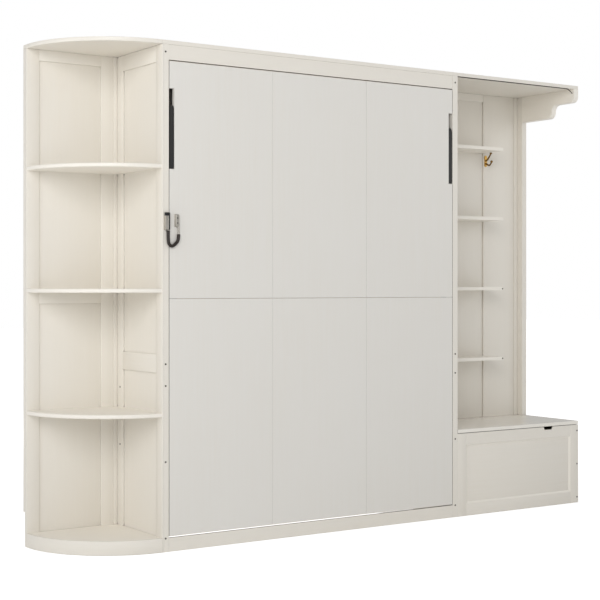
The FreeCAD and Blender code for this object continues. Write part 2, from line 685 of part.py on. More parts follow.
def top_edge_bead():
    """A round bead under the top board, from the bed cabinet to the bracket, where it turns down."""
    y = BEAD_INSET + BEAD_R
    z = CEILING_Z - BEAD_R
    end_x = RETURN_X0 - BEAD_END_GAP
    points = [Vec(RIGHT_X0, y, z), Vec(end_x - BEAD_TURN, y, z), Vec(end_x, y, z - BEAD_TURN_DROP)]
    save("top_edge_bead", [tube(points, bend_radii(points), BEAD_R)])


def bracket():
    """The scalloped bracket that carries the right top board out from the wall."""
    x = (RETURN_X0, RIGHT_X1)
    lip_z = CEILING_Z - BRACKET_LIP_H
    low_z = CEILING_Z - BRACKET_DROP_H
    curve_r = (lip_z - low_z) / 2.0
    mid_y = BRACKET_LIP_D + curve_r
    points = [Vec(x[0], 0.0, CEILING_Z), Vec(x[0], 0.0, lip_z + BRACKET_NOSE_R)]
    nose_c = Vec(x[0], BRACKET_NOSE_R, lip_z + BRACKET_NOSE_R)
    cove_c = Vec(x[0], BRACKET_LIP_D, lip_z - curve_r)
    round_c = Vec(x[0], mid_y + curve_r, low_z + curve_r)
    slant = math.sqrt(0.5)
    nose_m = nose_c + Vec(0.0, -slant, -slant) * BRACKET_NOSE_R
    cove_m = cove_c + Vec(0.0, slant, slant) * curve_r
    round_m = round_c + Vec(0.0, -slant, -slant) * curve_r
    nose_end = Vec(x[0], BRACKET_NOSE_R, lip_z)
    cove_start = Vec(x[0], BRACKET_LIP_D, lip_z)
    middle = Vec(x[0], mid_y, lip_z - curve_r)
    round_end = Vec(x[0], mid_y + curve_r, low_z)
    low_back = Vec(x[0], RETURN_Y, low_z)
    top_back = Vec(x[0], RETURN_Y, CEILING_Z)
    edges = [
        Part.makeLine(points[0], points[1]),
        Part.Arc(points[1], nose_m, nose_end).toShape(),
        Part.makeLine(nose_end, cove_start),
        Part.Arc(cove_start, cove_m, middle).toShape(),
        Part.Arc(middle, round_m, round_end).toShape(),
        Part.makeLine(round_end, low_back),
        Part.makeLine(low_back, top_back),
        Part.makeLine(top_back, points[0]),
    ]
    save("scalloped_bracket", [Part.Face(Part.Wire(edges)).extrude(Vec(x[1] - x[0], 0.0, 0.0))])


def right_shelves():
    """Four shallow shelves between the bed cabinet and the seam in the back."""
    shelves = []
    for index in range(RIGHT_SHELF_COUNT):
        top = RIGHT_LOW_TOP + index * RIGHT_PITCH
        z = (top - BOARD_T, top)
        board = box((RIGHT_X0, RIGHT_SHELF_X1), (BACK_Y - RIGHT_SHELF_D, BACK_Y), z)
        board = eased(board)
        tongue = box((RIGHT_X0, RIGHT_SHELF_X1), (BACK_Y - EASE_R - 1.0, FIELD_Y), z)
        shelves.append(board.fuse(tongue).removeSplitter())
    save("hall_shelves", shelves)


def coat_hook():
    """A double coat hook beside the end of the top shelf."""
    x0 = RIGHT_SHELF_X1 + BACK_SEAM + HOOK_FROM_SEAM
    x = x0 + HOOK_PLATE_W / 2.0
    top = RIGHT_SHELF_TOP - BOARD_T - HOOK_BELOW_SHELF
    face = BACK_Y - HOOK_PLATE_T
    plate = eased(box((x0, x0 + HOOK_PLATE_W), (face, BACK_Y), (top - HOOK_PLATE_H, top)))
    low = top - HOOK_PLATE_H + HOOK_FOOT_ROOM
    hook = plate
    for wire in (HOOK_LOWER_WIRE, HOOK_UPPER_WIRE):
        points = [Vec(x, face - reach, low + rise) for reach, rise in wire]
        ball = Part.makeSphere(HOOK_BALL_R, points[-1])
        hook = hook.fuse(tube(points, bend_radii(points), HOOK_WIRE_R)).fuse(ball)
    save("coat_hook", [hook])
    screws = []
    for drop in HOOK_SCREW_DROPS:
        screws.append(pin((x, face, top - drop), (x, face - SCREW_T, top - drop), SCREW_R))
    save("hook_screws", screws)


# Storage bench -------------------------------------------------------------------------------

def bench_front():
    """Framed front of the bench, with a finger cut-out in its top rail."""
    skin = (0.0, FACE_T)
    front_z1 = SEAT_Z0 - LID_FRONT_GAP
    stiles = [
        box((RIGHT_X0, RIGHT_X0 + BENCH_STILE_W), skin, (0.0, front_z1)),
        box((RIGHT_X1 - BENCH_STILE_W, RIGHT_X1), skin, (0.0, front_z1)),
    ]
    between, tall = bench_recess()
    top_rail = box(between, skin, (tall[1], front_z1))
    outlines = [finger_outline(y) for y in (-1.0, FACE_T + 1.0)]
    cut = Part.makeLoft(outlines, True, True)
    save("bench_top_rail", [top_rail.cut(cut)])
    save("bench_frame", stiles + [box(between, skin, (0.0, tall[0]))])
    save("bench_moulding", bench_moulding())


def finger_outline(y):
    """Outline of the finger cut-out at one depth; it widens towards the inside of the bench."""
    grow = FINGER_FLARE * y / FACE_T
    x1 = RIGHT_X1 - FINGER_FROM_END + grow
    x0 = RIGHT_X1 - FINGER_FROM_END - FINGER_W - grow
    slope = (FINGER_W - FINGER_LOW_W) / 2.0
    corners = [
        Vec(x0, y, SEAT_Z0),
        Vec(x1, y, SEAT_Z0),
        Vec(x1 - slope, y, SEAT_Z0 - FINGER_D),
        Vec(x0 + slope, y, SEAT_Z0 - FINGER_D),
    ]
    return Part.makePolygon(corners + corners[:1])


def bench_recess():
    """Sides, bottom and top of the opening in the bench's front frame."""
    return (
        (RIGHT_X0 + BENCH_STILE_W, RIGHT_X1 - BENCH_STILE_W),
        (BENCH_LOW_RAIL_H, SEAT_Z0 - BENCH_TOP_RAIL_H),
    )


def bench_field():
    """The field that closes the bench's front frame from behind."""
    across, tall = bench_recess()
    return box(across, (TRIM_T, FACE_T), tall)


def bench_moulding():
    """Four mitred strips of triangular section round the inside of the bench's recess."""
    across, tall = bench_recess()
    deep = (MOULDING_LIP, TRIM_T)
    low = (across[0] + MOULDING_W, tall[0] + MOULDING_W)
    high = (across[1] - MOULDING_W, tall[1] - MOULDING_W)
    hollow = Part.makeWedge(
        across[0], deep[0], tall[0], low[1], low[0], across[1], deep[1], tall[1], high[1], high[0])
    ring = box(across, deep, tall).cut(hollow)
    outer = [(across[0], tall[0]), (across[1], tall[0]), (across[1], tall[1]), (across[0], tall[1])]
    inner = [low, (high[0], low[1]), high, (low[0], high[1])]
    strips = []
    for index in range(4):
        after = (index + 1) % 4
        outline = (outer[index], outer[after], inner[after], inner[index])
        corners = [Vec(x, deep[0], z) for x, z in outline]
        mitred = Part.Face(Part.makePolygon(corners + corners[:1])).extrude(Vec(0.0, deep[1] - deep[0], 0.0))
        strips.append(ring.common(mitred).Solids[0])
    return strips


def bench_box():
    """Ends, back and floor of the bench, with the fixed strip behind the lid."""
    tall = (0.0, SEAT_Z0)
    near = (RIGHT_X0, RIGHT_X0 + BOARD_T)
    far = (RIGHT_X1 - BOARD_T, RIGHT_X1)
    inside = (near[1], far[0])
    floor_z = (BENCH_LOW_RAIL_H - BOARD_T, BENCH_LOW_RAIL_H)
    save("bench_carcass", [
        box(near, (FACE_T, CARCASS_D), tall),
        box(far, (FACE_T, CARCASS_D), tall),
        box(inside, (BACK_Y, CARCASS_D), tall),
        box(inside, (FACE_T, BACK_Y), floor_z),
    ])
    save("seat_strip", [box((RIGHT_X0, RIGHT_X1), (RETURN_Y, CARCASS_D), (SEAT_Z0, SEAT_H))])
    lid = box((RIGHT_X0 + LID_SIDE_GAP, RIGHT_X1), (0.0, LID_Y1), (SEAT_Z0, SEAT_H))
    save("bench_lid", [eased(lid)])


def knuckle(x0, x1):
    """One barrel segment of a butt hinge."""
    barrel = pin((x0, HINGE_Y, HINGE_Z), (x1, HINGE_Y, HINGE_Z), HINGE_KNUCKLE_R)
    return barrel.cut(pin((x0 - 1.0, HINGE_Y, HINGE_Z), (x1 + 1.0, HINGE_Y, HINGE_Z), HINGE_PIN_R + PIN_FIT))


def leaf(x0, x1, side):
    """A hinge leaf against the lid (-1) or the seat strip (+1), joined to its barrel."""
    edge = HINGE_Y + side * HINGE_GAP / 2.0
    inner = edge - side * HINGE_LEAF_T
    plate = box((x0, x1), (min(edge, inner), max(edge, inner)), (SEAT_Z0, HINGE_Z))
    near = HINGE_Y + side * (HINGE_PIN_R + HINGE_WEB_GAP)
    web = box((x0, x1), (min(edge, near), max(edge, near)), (HINGE_Z - HINGE_LEAF_T, HINGE_Z))
    bore = pin((x0 - 1.0, HINGE_Y, HINGE_Z), (x1 + 1.0, HINGE_Y, HINGE_Z), HINGE_PIN_R + PIN_FIT)
    return plate.fuse(web).cut(bore).fuse(knuckle(x0, x1)).removeSplitter()


def lid_hinges():
    """Butt hinges between the lid and the fixed strip behind it."""
    span = RIGHT_W / HINGE_COUNT
    third = HINGE_L / 3.0
    fixed = []
    moving = []
    pins = []
    for index in range(HINGE_COUNT):
        x0 = RIGHT_X0 + span * (index + 0.5) - HINGE_L / 2.0
        fixed.append(leaf(x0, x0 + third, 1.0))
        fixed.append(leaf(x0 + 2.0 * third, x0 + HINGE_L, 1.0))
        moving.append(leaf(x0 + third + HINGE_KNUCKLE_GAP, x0 + 2.0 * third - HINGE_KNUCKLE_GAP, -1.0))
        pins.append(pin((x0, HINGE_Y, HINGE_Z), (x0 + HINGE_L, HINGE_Y, HINGE_Z), HINGE_PIN_R))
    save("lid_hinge_fixed", fixed + pins)
    save("lid_hinge_moving", moving)


# Cover caps ----------------------------------------------------------------------------------

def cover_caps():
    """Round caps on the stile fronts, the left side, the bench front and two shelf ends."""
    heights = CAP_HEIGHTS + (CEILING_Z - HEADER_H / 2.0,)
    caps = []
    for z in heights:
        caps += pair(pin((SIDE_T / 2.0, 0.0, z), (SIDE_T / 2.0, -CAP_T, z), CAP_R))
    far_x = RIGHT_X1 - BOARD_T / 2.0
    for z in BENCH_CAP_HEIGHTS:
        caps.append(pin((far_x, 0.0, z), (far_x, -CAP_T, z), CAP_R))
    side_y = BACK_Y - CORNER_STRIP_PROUD - REAR_STILE_W / 2.0
    for z in SIDE_CAP_HEIGHTS:
        caps.append(pin((0.0, side_y, z), (-CAP_T, side_y, z), CAP_R))
    shelf_x = RIGHT_SHELF_X1 - CAP_R - EASE_R
    shelf_y = BACK_Y - RIGHT_SHELF_D
    for index in (0, 1):
        z = RIGHT_LOW_TOP + index * RIGHT_PITCH - BOARD_T / 2.0
        caps.append(pin((shelf_x, shelf_y, z), (shelf_x, shelf_y - CAP_T, z), CAP_R))
    save("cover_caps", caps)


def main():
    """Build every sub-part."""
    os.makedirs("parts", exist_ok=True)
    side_boards()
    side_trim()
    cabinet_boards()
    scribe_strips()
    wall_rails()
    bed_stops()
    pivot_hardware()
    face_panels()
    bed_frame()
    bed_deck()
    bed_plates()
    legs()
    gas_struts()
    cable_latch()
    left_back()
    left_unit()
    right_back()
    top_edge_bead()
    bracket()
    right_shelves()
    coat_hook()
    bench_front()
    bench_box()
    lid_hinges()
    cover_caps()


main()
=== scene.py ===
"""Dresses a folding wall bed with its shelf and hall units: finishes, small fittings, light and camera.

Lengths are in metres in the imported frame: X runs right along the wall, Y runs towards the wall, Z runs up.
"""

from __future__ import annotations

import logging
import math
from collections.abc import Iterable, Sequence
from dataclasses import dataclass, field, replace
from enum import Enum

import bmesh
import bpy
from mathutils import Matrix, Vector

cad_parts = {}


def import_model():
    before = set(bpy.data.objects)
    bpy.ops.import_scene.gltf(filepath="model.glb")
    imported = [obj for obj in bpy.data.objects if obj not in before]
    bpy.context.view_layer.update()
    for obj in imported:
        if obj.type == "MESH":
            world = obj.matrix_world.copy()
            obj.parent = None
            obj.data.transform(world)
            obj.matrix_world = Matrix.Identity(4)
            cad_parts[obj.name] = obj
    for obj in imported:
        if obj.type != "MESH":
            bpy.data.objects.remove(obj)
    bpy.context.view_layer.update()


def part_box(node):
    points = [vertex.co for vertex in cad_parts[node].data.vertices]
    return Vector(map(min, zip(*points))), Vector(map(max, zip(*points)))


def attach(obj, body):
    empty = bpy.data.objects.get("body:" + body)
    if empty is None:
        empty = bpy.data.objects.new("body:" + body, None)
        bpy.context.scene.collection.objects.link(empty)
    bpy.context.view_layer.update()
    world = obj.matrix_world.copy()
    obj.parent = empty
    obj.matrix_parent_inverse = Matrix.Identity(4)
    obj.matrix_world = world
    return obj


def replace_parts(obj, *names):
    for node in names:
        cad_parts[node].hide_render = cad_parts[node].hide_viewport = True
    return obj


LOG = logging.getLogger("wall_bed")
MM = 0.001
SAME_POINT = 0.01 * MM
TOWARDS_ROOM = Vector((0.0, -1.0, 0.0))
Profile = Sequence[tuple[float, float]]


class Grain(Enum):
    """Which way a board's fibres run, as the share of the pattern's scale on X, Y and Z."""

    ALONG = (0.03, 1.0, 1.0)
    DEEP = (1.0, 0.03, 1.0)
    UP = (1.0, 1.0, 0.03)


class Shine(Enum):
    """How far a metal surface was worked, as its roughness."""

    GROUND = 0.08
    SATIN = 0.32
    DULL = 0.45


# Colour and nodes ----------------------------------------------------------------------------


def linear(hex_colour: str) -> tuple[float, float, float, float]:
    """Turns an sRGB hex colour to linear light.

    Args:
        hex_colour: six hex digits after a hash sign.

    Returns:
        Red, green, blue and an alpha of one.
    """
    parts = [int(hex_colour[i : i + 2], 16) / 255.0 for i in (1, 3, 5)]
    red, green, blue = (c / 12.92 if c <= 0.04045 else ((c + 0.055) / 1.055) ** 2.4 for c in parts)
    return red, green, blue, 1.0


def add(
    tree: bpy.types.NodeTree,
    kind: str,
    inputs: dict[str | int, object] | None = None,
    **settings: object,
) -> bpy.types.Node:
    """Adds a node with its settings, and fills or links its inputs.

    Args:
        tree: the tree that takes the node.
        kind: the node's type name.
        inputs: each input's name or place, with a plain value or the output that feeds it.
        **settings: the node's own properties.

    Returns:
        The new node.
    """
    made = tree.nodes.new(kind)
    for name, value in settings.items():
        setattr(made, name, value)
    for key, value in (inputs or {}).items():
        if isinstance(value, bpy.types.NodeSocket):
            tree.links.new(value, made.inputs[key])
        else:
            made.inputs[key].default_value = value
    return made


def ramp(node: bpy.types.Node, stops: Sequence[tuple[float, tuple[float, ...]]]) -> bpy.types.NodeSocket:
    """Sets a colour ramp's two stops.

    Args:
        node: a new colour ramp node.
        stops: place and linear colour of each stop, from low to high.

    Returns:
        The ramp's colour output.
    """
    for element, (place, colour) in zip(node.color_ramp.elements, stops):
        element.position = place
        element.color = colour
    return node.outputs["Color"]


# Finishes ------------------------------------------------------------------------------------


@dataclass(frozen=True)
class Finish:
    """What every finish has: a name, and a way to make its Blender material."""

    name: str

    def material(self) -> bpy.types.Material:
        """Makes the material, or returns the one made before."""
        found = bpy.data.materials.get(self.name)
        if found is not None:
            return found
        made = bpy.data.materials.new(self.name)
        made.use_nodes = True
        made.node_tree.nodes.clear()
        shader = add(made.node_tree, "ShaderNodeBsdfPrincipled")
        add(made.node_tree, "ShaderNodeOutputMaterial", {"Surface": shader.outputs["BSDF"]})
        self.paint(made.node_tree, shader)
        return made

    def paint(self, tree: bpy.types.NodeTree, shader: bpy.types.Node) -> None:
        """Sets the shader's sockets and patterns.

        Args:
            tree: the material's tree.
            shader: its principled shader.
        """
        raise NotImplementedError

    def scaled(self, tree: bpy.types.NodeTree, grain: Grain) -> bpy.types.NodeSocket:
        """Gives coordinates in metres on the piece, drawn out along the grain.

        Args:
            tree: the material's tree.
            grain: which way the pattern is drawn out.

        Returns:
            The mapped coordinates.
        """
        place = add(tree, "ShaderNodeTexCoord")
        return add(tree, "ShaderNodeMapping", {0: place.outputs["Object"], 3: grain.value}).outputs[0]


@dataclass(frozen=True)
class SprayedLacquer(Finish):
    """Pigmented acrylic lacquer, sprayed in two coats over primed plywood and board.

    It gives a satin warm white. The tone drifts slowly over a board, the plywood's fibres show through as
    very faint streaks, and the sprayed film's orange peel breaks up the soft gloss. Painted shade, with a
    little dust, darkens the narrow joints and gaps between boards, drawn from ambient occlusion.
    """

    colour: str = "#EDE9E1"
    warm: str = "#E9E3D8"
    roughness: float = 0.4
    grain: Grain = Grain.UP
    drift_mm: float = 500.0
    streak_mm: float = 9.0
    streak_share: float = 0.18
    streak_relief_mm: float = 0.6
    peel_mm: float = 6.0  # real orange peel is about 1.5 mm across; drawn coarser so that it shows
    peel_relief_mm: float = 0.4
    gloss_spread: tuple[float, float] = (-0.05, 0.07)
    # colour of the painted shade, with a little dust, that fills narrow joints and gaps
    shade_and_dust: str = "#4A423B"
    nook_mm: float = 16.0
    nook_open: tuple[float, float] = (0.12, 0.4)
    ior: float = 1.49

    def paint(self, tree: bpy.types.NodeTree, shader: bpy.types.Node) -> None:
        """Sets tone, streaks, peel and gloss, and painted shade, with a little dust, in narrow joints."""
        place = add(tree, "ShaderNodeTexCoord").outputs["Object"]
        fibres = self.scaled(tree, self.grain)
        marks = ((place, self.drift_mm, 2.0), (fibres, self.streak_mm, 4.0), (place, self.peel_mm, 1.0))
        drift, streak, peel = (
            add(tree, "ShaderNodeTexNoise", {"Vector": at, "Scale": 1.0 / (size * MM), "Detail": detail})
            for at, size, detail in marks
        )
        tone = add(
            tree,
            "ShaderNodeMath",
            {0: drift.outputs["Fac"], 1: streak.outputs["Fac"]},
            operation="MULTIPLY_ADD",
        )
        tone.inputs[2].default_value = self.streak_share
        blend = add(
            tree,
            "ShaderNodeMix",
            {0: tone.outputs[0], 6: linear(self.colour), 7: linear(self.warm)},
            data_type="RGBA",
        )
        # painted shade: ambient occlusion darkens narrow joints and gaps towards a dark colour, with a
        # little dust
        nook = add(tree, "ShaderNodeAmbientOcclusion", {"Distance": self.nook_mm * MM})
        shut, clear = self.nook_open
        unshaded_share = add(tree, "ShaderNodeMapRange", {0: nook.outputs["AO"], 1: shut, 2: clear})
        joint_shaded = add(
            tree,
            "ShaderNodeMix",
            {0: unshaded_share.outputs[0], 6: linear(self.shade_and_dust), 7: blend.outputs[2]},
            data_type="RGBA",
        )
        tree.links.new(joint_shaded.outputs[2], shader.inputs["Base Color"])
        smooth, rough = (self.roughness + share for share in self.gloss_spread)
        gloss = add(tree, "ShaderNodeMapRange", {0: streak.outputs["Fac"], 3: smooth, 4: rough})
        tree.links.new(gloss.outputs[0], shader.inputs["Roughness"])
        shader.inputs["IOR"].default_value = self.ior
        low = add(
            tree,
            "ShaderNodeBump",
            {"Strength": 0.12, "Distance": self.streak_relief_mm * MM, "Height": streak.outputs["Fac"]},
        )
        fine = add(
            tree,
            "ShaderNodeBump",
            {
                "Strength": 0.1,
                "Distance": self.peel_relief_mm * MM,
                "Height": peel.outputs["Fac"],
                "Normal": low.outputs[0],
            },
        )
        tree.links.new(fine.outputs[0], shader.inputs["Normal"])


@dataclass(frozen=True)
class PlanedPine(Finish):
    """Bare pine, planed and left without oil or paint.

    It gives a pale straw colour with brown late wood lines along the board, now and then a knot's darker
    cloud, and no gloss.
    """

    early: str = "#DFC59A"
    late: str = "#BC8F58"
    cloud: str = "#C9A06A"
    grain: Grain = Grain.UP
    ring_mm: float = 7.0
    ring_stops: tuple[float, float] = (0.42, 0.62)
    ring_relief_mm: float = 0.4
    sway: float = 9.0
    sway_m: float = 0.05
    clouds_per_m: float = 7.0
    cloud_stops: tuple[float, float] = (0.55, 0.8)
    cloud_share: float = 0.5
    roughness: float = 0.62

    def paint(self, tree: bpy.types.NodeTree, shader: bpy.types.Node) -> None:
        """Sets rings, clouds and pores."""
        fibres = self.scaled(tree, self.grain)
        place = add(tree, "ShaderNodeTexCoord").outputs["Object"]
        bend = add(tree, "ShaderNodeTexNoise", {"Vector": fibres, "Scale": self.sway, "Detail": 3.0})
        shift = add(
            tree,
            "ShaderNodeVectorMath",
            {0: bend.outputs["Color"], 1: (self.sway_m, self.sway_m, self.sway_m)},
            operation="MULTIPLY",
        )
        bent = add(tree, "ShaderNodeVectorMath", {0: fibres, 1: shift.outputs[0]}, operation="ADD")
        rings = add(
            tree,
            "ShaderNodeTexNoise",
            {"Vector": bent.outputs[0], "Scale": 1.0 / (self.ring_mm * MM), "Detail": 5.0, "Roughness": 0.6},
        )
        lines = ramp(
            add(tree, "ShaderNodeValToRGB", {0: rings.outputs["Fac"]}),
            [(self.ring_stops[0], linear(self.early)), (self.ring_stops[1], linear(self.late))],
        )
        clouds = add(
            tree, "ShaderNodeTexNoise", {"Vector": place, "Scale": self.clouds_per_m, "Detail": 2.0}
        )
        start, full = self.cloud_stops
        patch = add(
            tree,
            "ShaderNodeMapRange",
            {0: clouds.outputs["Fac"], 1: start, 2: full, 4: self.cloud_share},
        )
        wood = add(
            tree,
            "ShaderNodeMix",
            {0: patch.outputs[0], 6: lines, 7: linear(self.cloud)},
            data_type="RGBA",
        )
        tree.links.new(wood.outputs[2], shader.inputs["Base Color"])
        shader.inputs["Roughness"].default_value = self.roughness
        bump = add(
            tree,
            "ShaderNodeBump",
            {"Strength": 0.3, "Distance": self.ring_relief_mm * MM, "Height": rings.outputs["Fac"]},
        )
        tree.links.new(bump.outputs[0], shader.inputs["Normal"])


@dataclass(frozen=True)
class Coating(Finish):
    """A dark coating over steel or a dark plastic: powder coat, enamel, moulded or extruded plastic.

    It gives a near black whose fine texture spreads each highlight, with a little dust in the tone.
    """

    colour: str = "#1B1B1C"
    dust: str = "#2B2A29"
    roughness: float = 0.42
    texture_mm: float = 0.8
    relief_mm: float = 0.05
    dust_per_m: float = 24.0
    gloss_spread: tuple[float, float] = (-0.06, 0.08)
    grain: Grain | None = None
    ior: float = 1.5

    def paint(self, tree: bpy.types.NodeTree, shader: bpy.types.Node) -> None:
        """Sets texture, dust and gloss."""
        place = add(tree, "ShaderNodeTexCoord").outputs["Object"]
        run = place if self.grain is None else self.scaled(tree, self.grain)
        grain = {"Vector": run, "Scale": 1.0 / (self.texture_mm * MM), "Detail": 2.0}
        grit = add(tree, "ShaderNodeTexNoise", grain)
        cloud = add(tree, "ShaderNodeTexNoise", {"Vector": place, "Scale": self.dust_per_m, "Detail": 3.0})
        tone = add(
            tree,
            "ShaderNodeMix",
            {0: cloud.outputs["Fac"], 6: linear(self.colour), 7: linear(self.dust)},
            data_type="RGBA",
        )
        tree.links.new(tone.outputs[2], shader.inputs["Base Color"])
        smooth, rough = (self.roughness + share for share in self.gloss_spread)
        gloss = add(tree, "ShaderNodeMapRange", {0: cloud.outputs["Fac"], 3: smooth, 4: rough})
        tree.links.new(gloss.outputs[0], shader.inputs["Roughness"])
        shader.inputs["IOR"].default_value = self.ior
        bump = add(
            tree,
            "ShaderNodeBump",
            {"Strength": 0.5, "Distance": self.relief_mm * MM, "Height": grit.outputs["Fac"]},
        )
        tree.links.new(bump.outputs[0], shader.inputs["Normal"])


@dataclass(frozen=True)
class Metal(Finish):
    """Plated, ground or aged metal.

    It gives clear reflections that are drawn out by the last tool's fine lines, and patches where the
    surface has dulled with handling.
    """

    colour: str = "#C9C8C5"
    tarnish: str = "#A9A7A2"
    shine: Shine = Shine.SATIN
    line_mm: float = 0.6
    line_relief_mm: float = 0.04
    grain: Grain = Grain.UP
    patch_mm: float = 18.0
    gloss_spread: tuple[float, float] = (0.8, 1.35)

    def paint(self, tree: bpy.types.NodeTree, shader: bpy.types.Node) -> None:
        """Sets lines, patches and shine."""
        place = add(tree, "ShaderNodeTexCoord").outputs["Object"]
        run = self.scaled(tree, self.grain)
        marks = ((run, self.line_mm, 2.0), (place, self.patch_mm, 3.0))
        lines, patch = (
            add(tree, "ShaderNodeTexNoise", {"Vector": at, "Scale": 1.0 / (size * MM), "Detail": detail})
            for at, size, detail in marks
        )
        tone = add(
            tree,
            "ShaderNodeMix",
            {0: patch.outputs["Fac"], 6: linear(self.colour), 7: linear(self.tarnish)},
            data_type="RGBA",
        )
        tree.links.new(tone.outputs[2], shader.inputs["Base Color"])
        shader.inputs["Metallic"].default_value = 1.0
        bright, dull = (self.shine.value * share for share in self.gloss_spread)
        gloss = add(tree, "ShaderNodeMapRange", {0: patch.outputs["Fac"], 3: bright, 4: dull})
        tree.links.new(gloss.outputs[0], shader.inputs["Roughness"])
        bump = add(
            tree,
            "ShaderNodeBump",
            {"Strength": 0.2, "Distance": self.line_relief_mm * MM, "Height": lines.outputs["Fac"]},
        )
        tree.links.new(bump.outputs[0], shader.inputs["Normal"])


LACQUER = SprayedLacquer("sprayed_lacquer_board")
BOARD_UP = SprayedLacquer("sprayed_lacquer_upright")
BOARD_ALONG = SprayedLacquer("sprayed_lacquer_level", grain=Grain.ALONG)
# painted light: a paler copy of the lacquer, so that shelves, moulding, deck and bracket read brighter, as
# if lit more
SHELF_PAINTED_LIGHT = SprayedLacquer("sprayed_lacquer_shelf", colour="#F6F2EA", warm="#F2ECE1", grain=Grain.ALONG)
# face panels: a greyer tone, and paler painted shade in their joints
FACE_UP = SprayedLacquer(
    "sprayed_lacquer_face", colour="#E8E6E2", warm="#E4E0D8", roughness=0.36, shade_and_dust="#A09990"
)
BACK_UP = SprayedLacquer("sprayed_lacquer_back", shade_and_dust="#D8D2C7")
# back boards: very pale painted shade in their joints
PINE = PlanedPine("planed_pine_board")
PINE_ALONG = PlanedPine("planed_pine_level", grain=Grain.ALONG)
LEG_BLACK = Coating("powder_coated_steel", texture_mm=1.2)
# black enamel for the strut tubes and the lock housing; also the painted shade of the lock's keyway
BLACK_ENAMEL_AND_SLOT_SHADE = Coating("enamelled_tube", colour="#141415", dust="#201F1F", roughness=0.28, relief_mm=0.02)
# extruded sheath of the latch cable; also the black strip painted as the shadow line under the hall top's
# front edge
SHEATH_AND_SHADOW_STRIP = Coating("extruded_pvc_sheath", colour="#1D140F", dust="#2C2019", roughness=0.42, grain=Grain.UP)
CAP_BROWN = Coating("moulded_brown_cap", colour="#3A332C", dust="#4B443C", roughness=0.4, relief_mm=0.02)
ZINC = Metal("bright_zinc_plate", colour="#C6C8CA", tarnish="#A8A9AA", shine=Shine.SATIN)
NICKEL = Metal("satin_nickel_plate", colour="#D2CEC6", tarnish="#B0ABA2", shine=Shine.SATIN)
CHROME = Metal("ground_chrome", colour="#D6D7D9", tarnish="#C4C5C8", shine=Shine.GROUND)
BRASS = Metal("lacquered_brass_plate", colour="#E2BC6E", tarnish="#B98C3F", shine=Shine.SATIN)
# painted reflection: a dark copy of brass for the hook's arms, standing in for the dark reflections they
# show
BRASS_PAINTED_DARK = Metal("browned_brass_casting", colour="#A98240", tarnish="#4E3817", shine=Shine.DULL)
BLACKED_STEEL = Metal("blackened_screw_steel", colour="#3B3835", tarnish="#24221F", shine=Shine.DULL)
# near black for the bed rails and end rails, so that they read dark through the slot behind the face
NEAR_BLACK_RAILS = Coating(
    "black_stained_pine", colour="#191817", dust="#2B2926", roughness=0.5, texture_mm=3.0, grain=Grain.UP
)
# painted light: a paler colour than the boards, so that the lid reads brighter; the low roughness is the
# rubbed-out gloss
LID_TOP = SprayedLacquer(
    "rubbed_out_lacquer_lid", colour="#F4F1EA", warm="#F0EBE1", roughness=0.2, grain=Grain.ALONG
)


# Meshes --------------------------------------------------------------------------------------


def as_object(
    mesh: bpy.types.Mesh | bpy.types.Curve, name: str, finish: Finish, body: str
) -> bpy.types.Object:
    """Puts a mesh or curve in the scene as a dressed piece that rides on a body.

    Args:
        mesh: the data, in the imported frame.
        name: the piece's name.
        finish: its finish.
        body: the body it moves with.

    Returns:
        The new object.
    """
    made = bpy.data.objects.new(name, mesh)
    bpy.context.scene.collection.objects.link(made)
    made.data.materials.append(finish.material())
    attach(made, body)
    return made


def turned(profile: Profile, steps: int = 32) -> bmesh.types.BMesh:
    """Turns a profile about Z into a closed round solid.

    Args:
        profile: radius and height of each point, from one end of the axis to the other, in metres.
        steps: number of sides.

    Returns:
        The solid, with both ends closed.
    """
    made = bmesh.new()
    rings = []
    for radius, height in profile:
        ring = []
        for step in range(steps):
            angle = 2.0 * math.pi * step / steps
            ring.append(made.verts.new((radius * math.cos(angle), radius * math.sin(angle), height)))
        rings.append(ring)
    for low, high in zip(rings, rings[1:]):
        for step in range(steps):
            after = (step + 1) % steps
            made.faces.new((low[step], low[after], high[after], high[step]))
    made.faces.new(list(reversed(rings[0])))
    made.faces.new(rings[-1])
    bmesh.ops.recalc_face_normals(made, faces=made.faces)
    for face in made.faces:
        face.smooth = len(face.verts) == 4
    return made


def block(lo: Vector, hi: Vector, ease: float, segments: int = 3) -> bmesh.types.BMesh:
    """Makes a block with rounded edges.

    Args:
        lo: lowest corner.
        hi: highest corner.
        ease: radius of the edges.
        segments: faces across each rounded edge.

    Returns:
        The block.
    """
    made = bmesh.new()
    bmesh.ops.create_cube(made, size=1.0)
    centre = (lo + hi) / 2.0
    for vert in made.verts:
        vert.co = centre + Vector(v * s for v, s in zip(vert.co, hi - lo))
    bmesh.ops.bevel(
        made, geom=list(made.edges), offset=ease, segments=segments, profile=0.5, affect="EDGES"
    )
    for face in made.faces:
        face.smooth = True
    return made


def joined(parts: Iterable[tuple[bmesh.types.BMesh, Matrix]], name: str) -> bpy.types.Mesh:
    """Joins solids into one mesh.

    Args:
        parts: each solid, with the matrix that places it.
        name: the mesh's name.

    Returns:
        The mesh.
    """
    whole = bmesh.new()
    for part, place in parts:
        bmesh.ops.transform(part, matrix=place, verts=part.verts)
        piece = bpy.data.meshes.new(name + "_part")
        part.to_mesh(piece)
        part.free()
        whole.from_mesh(piece)
        bpy.data.meshes.remove(piece)
    mesh = bpy.data.meshes.new(name)
    whole.to_mesh(mesh)
    whole.free()
    return mesh


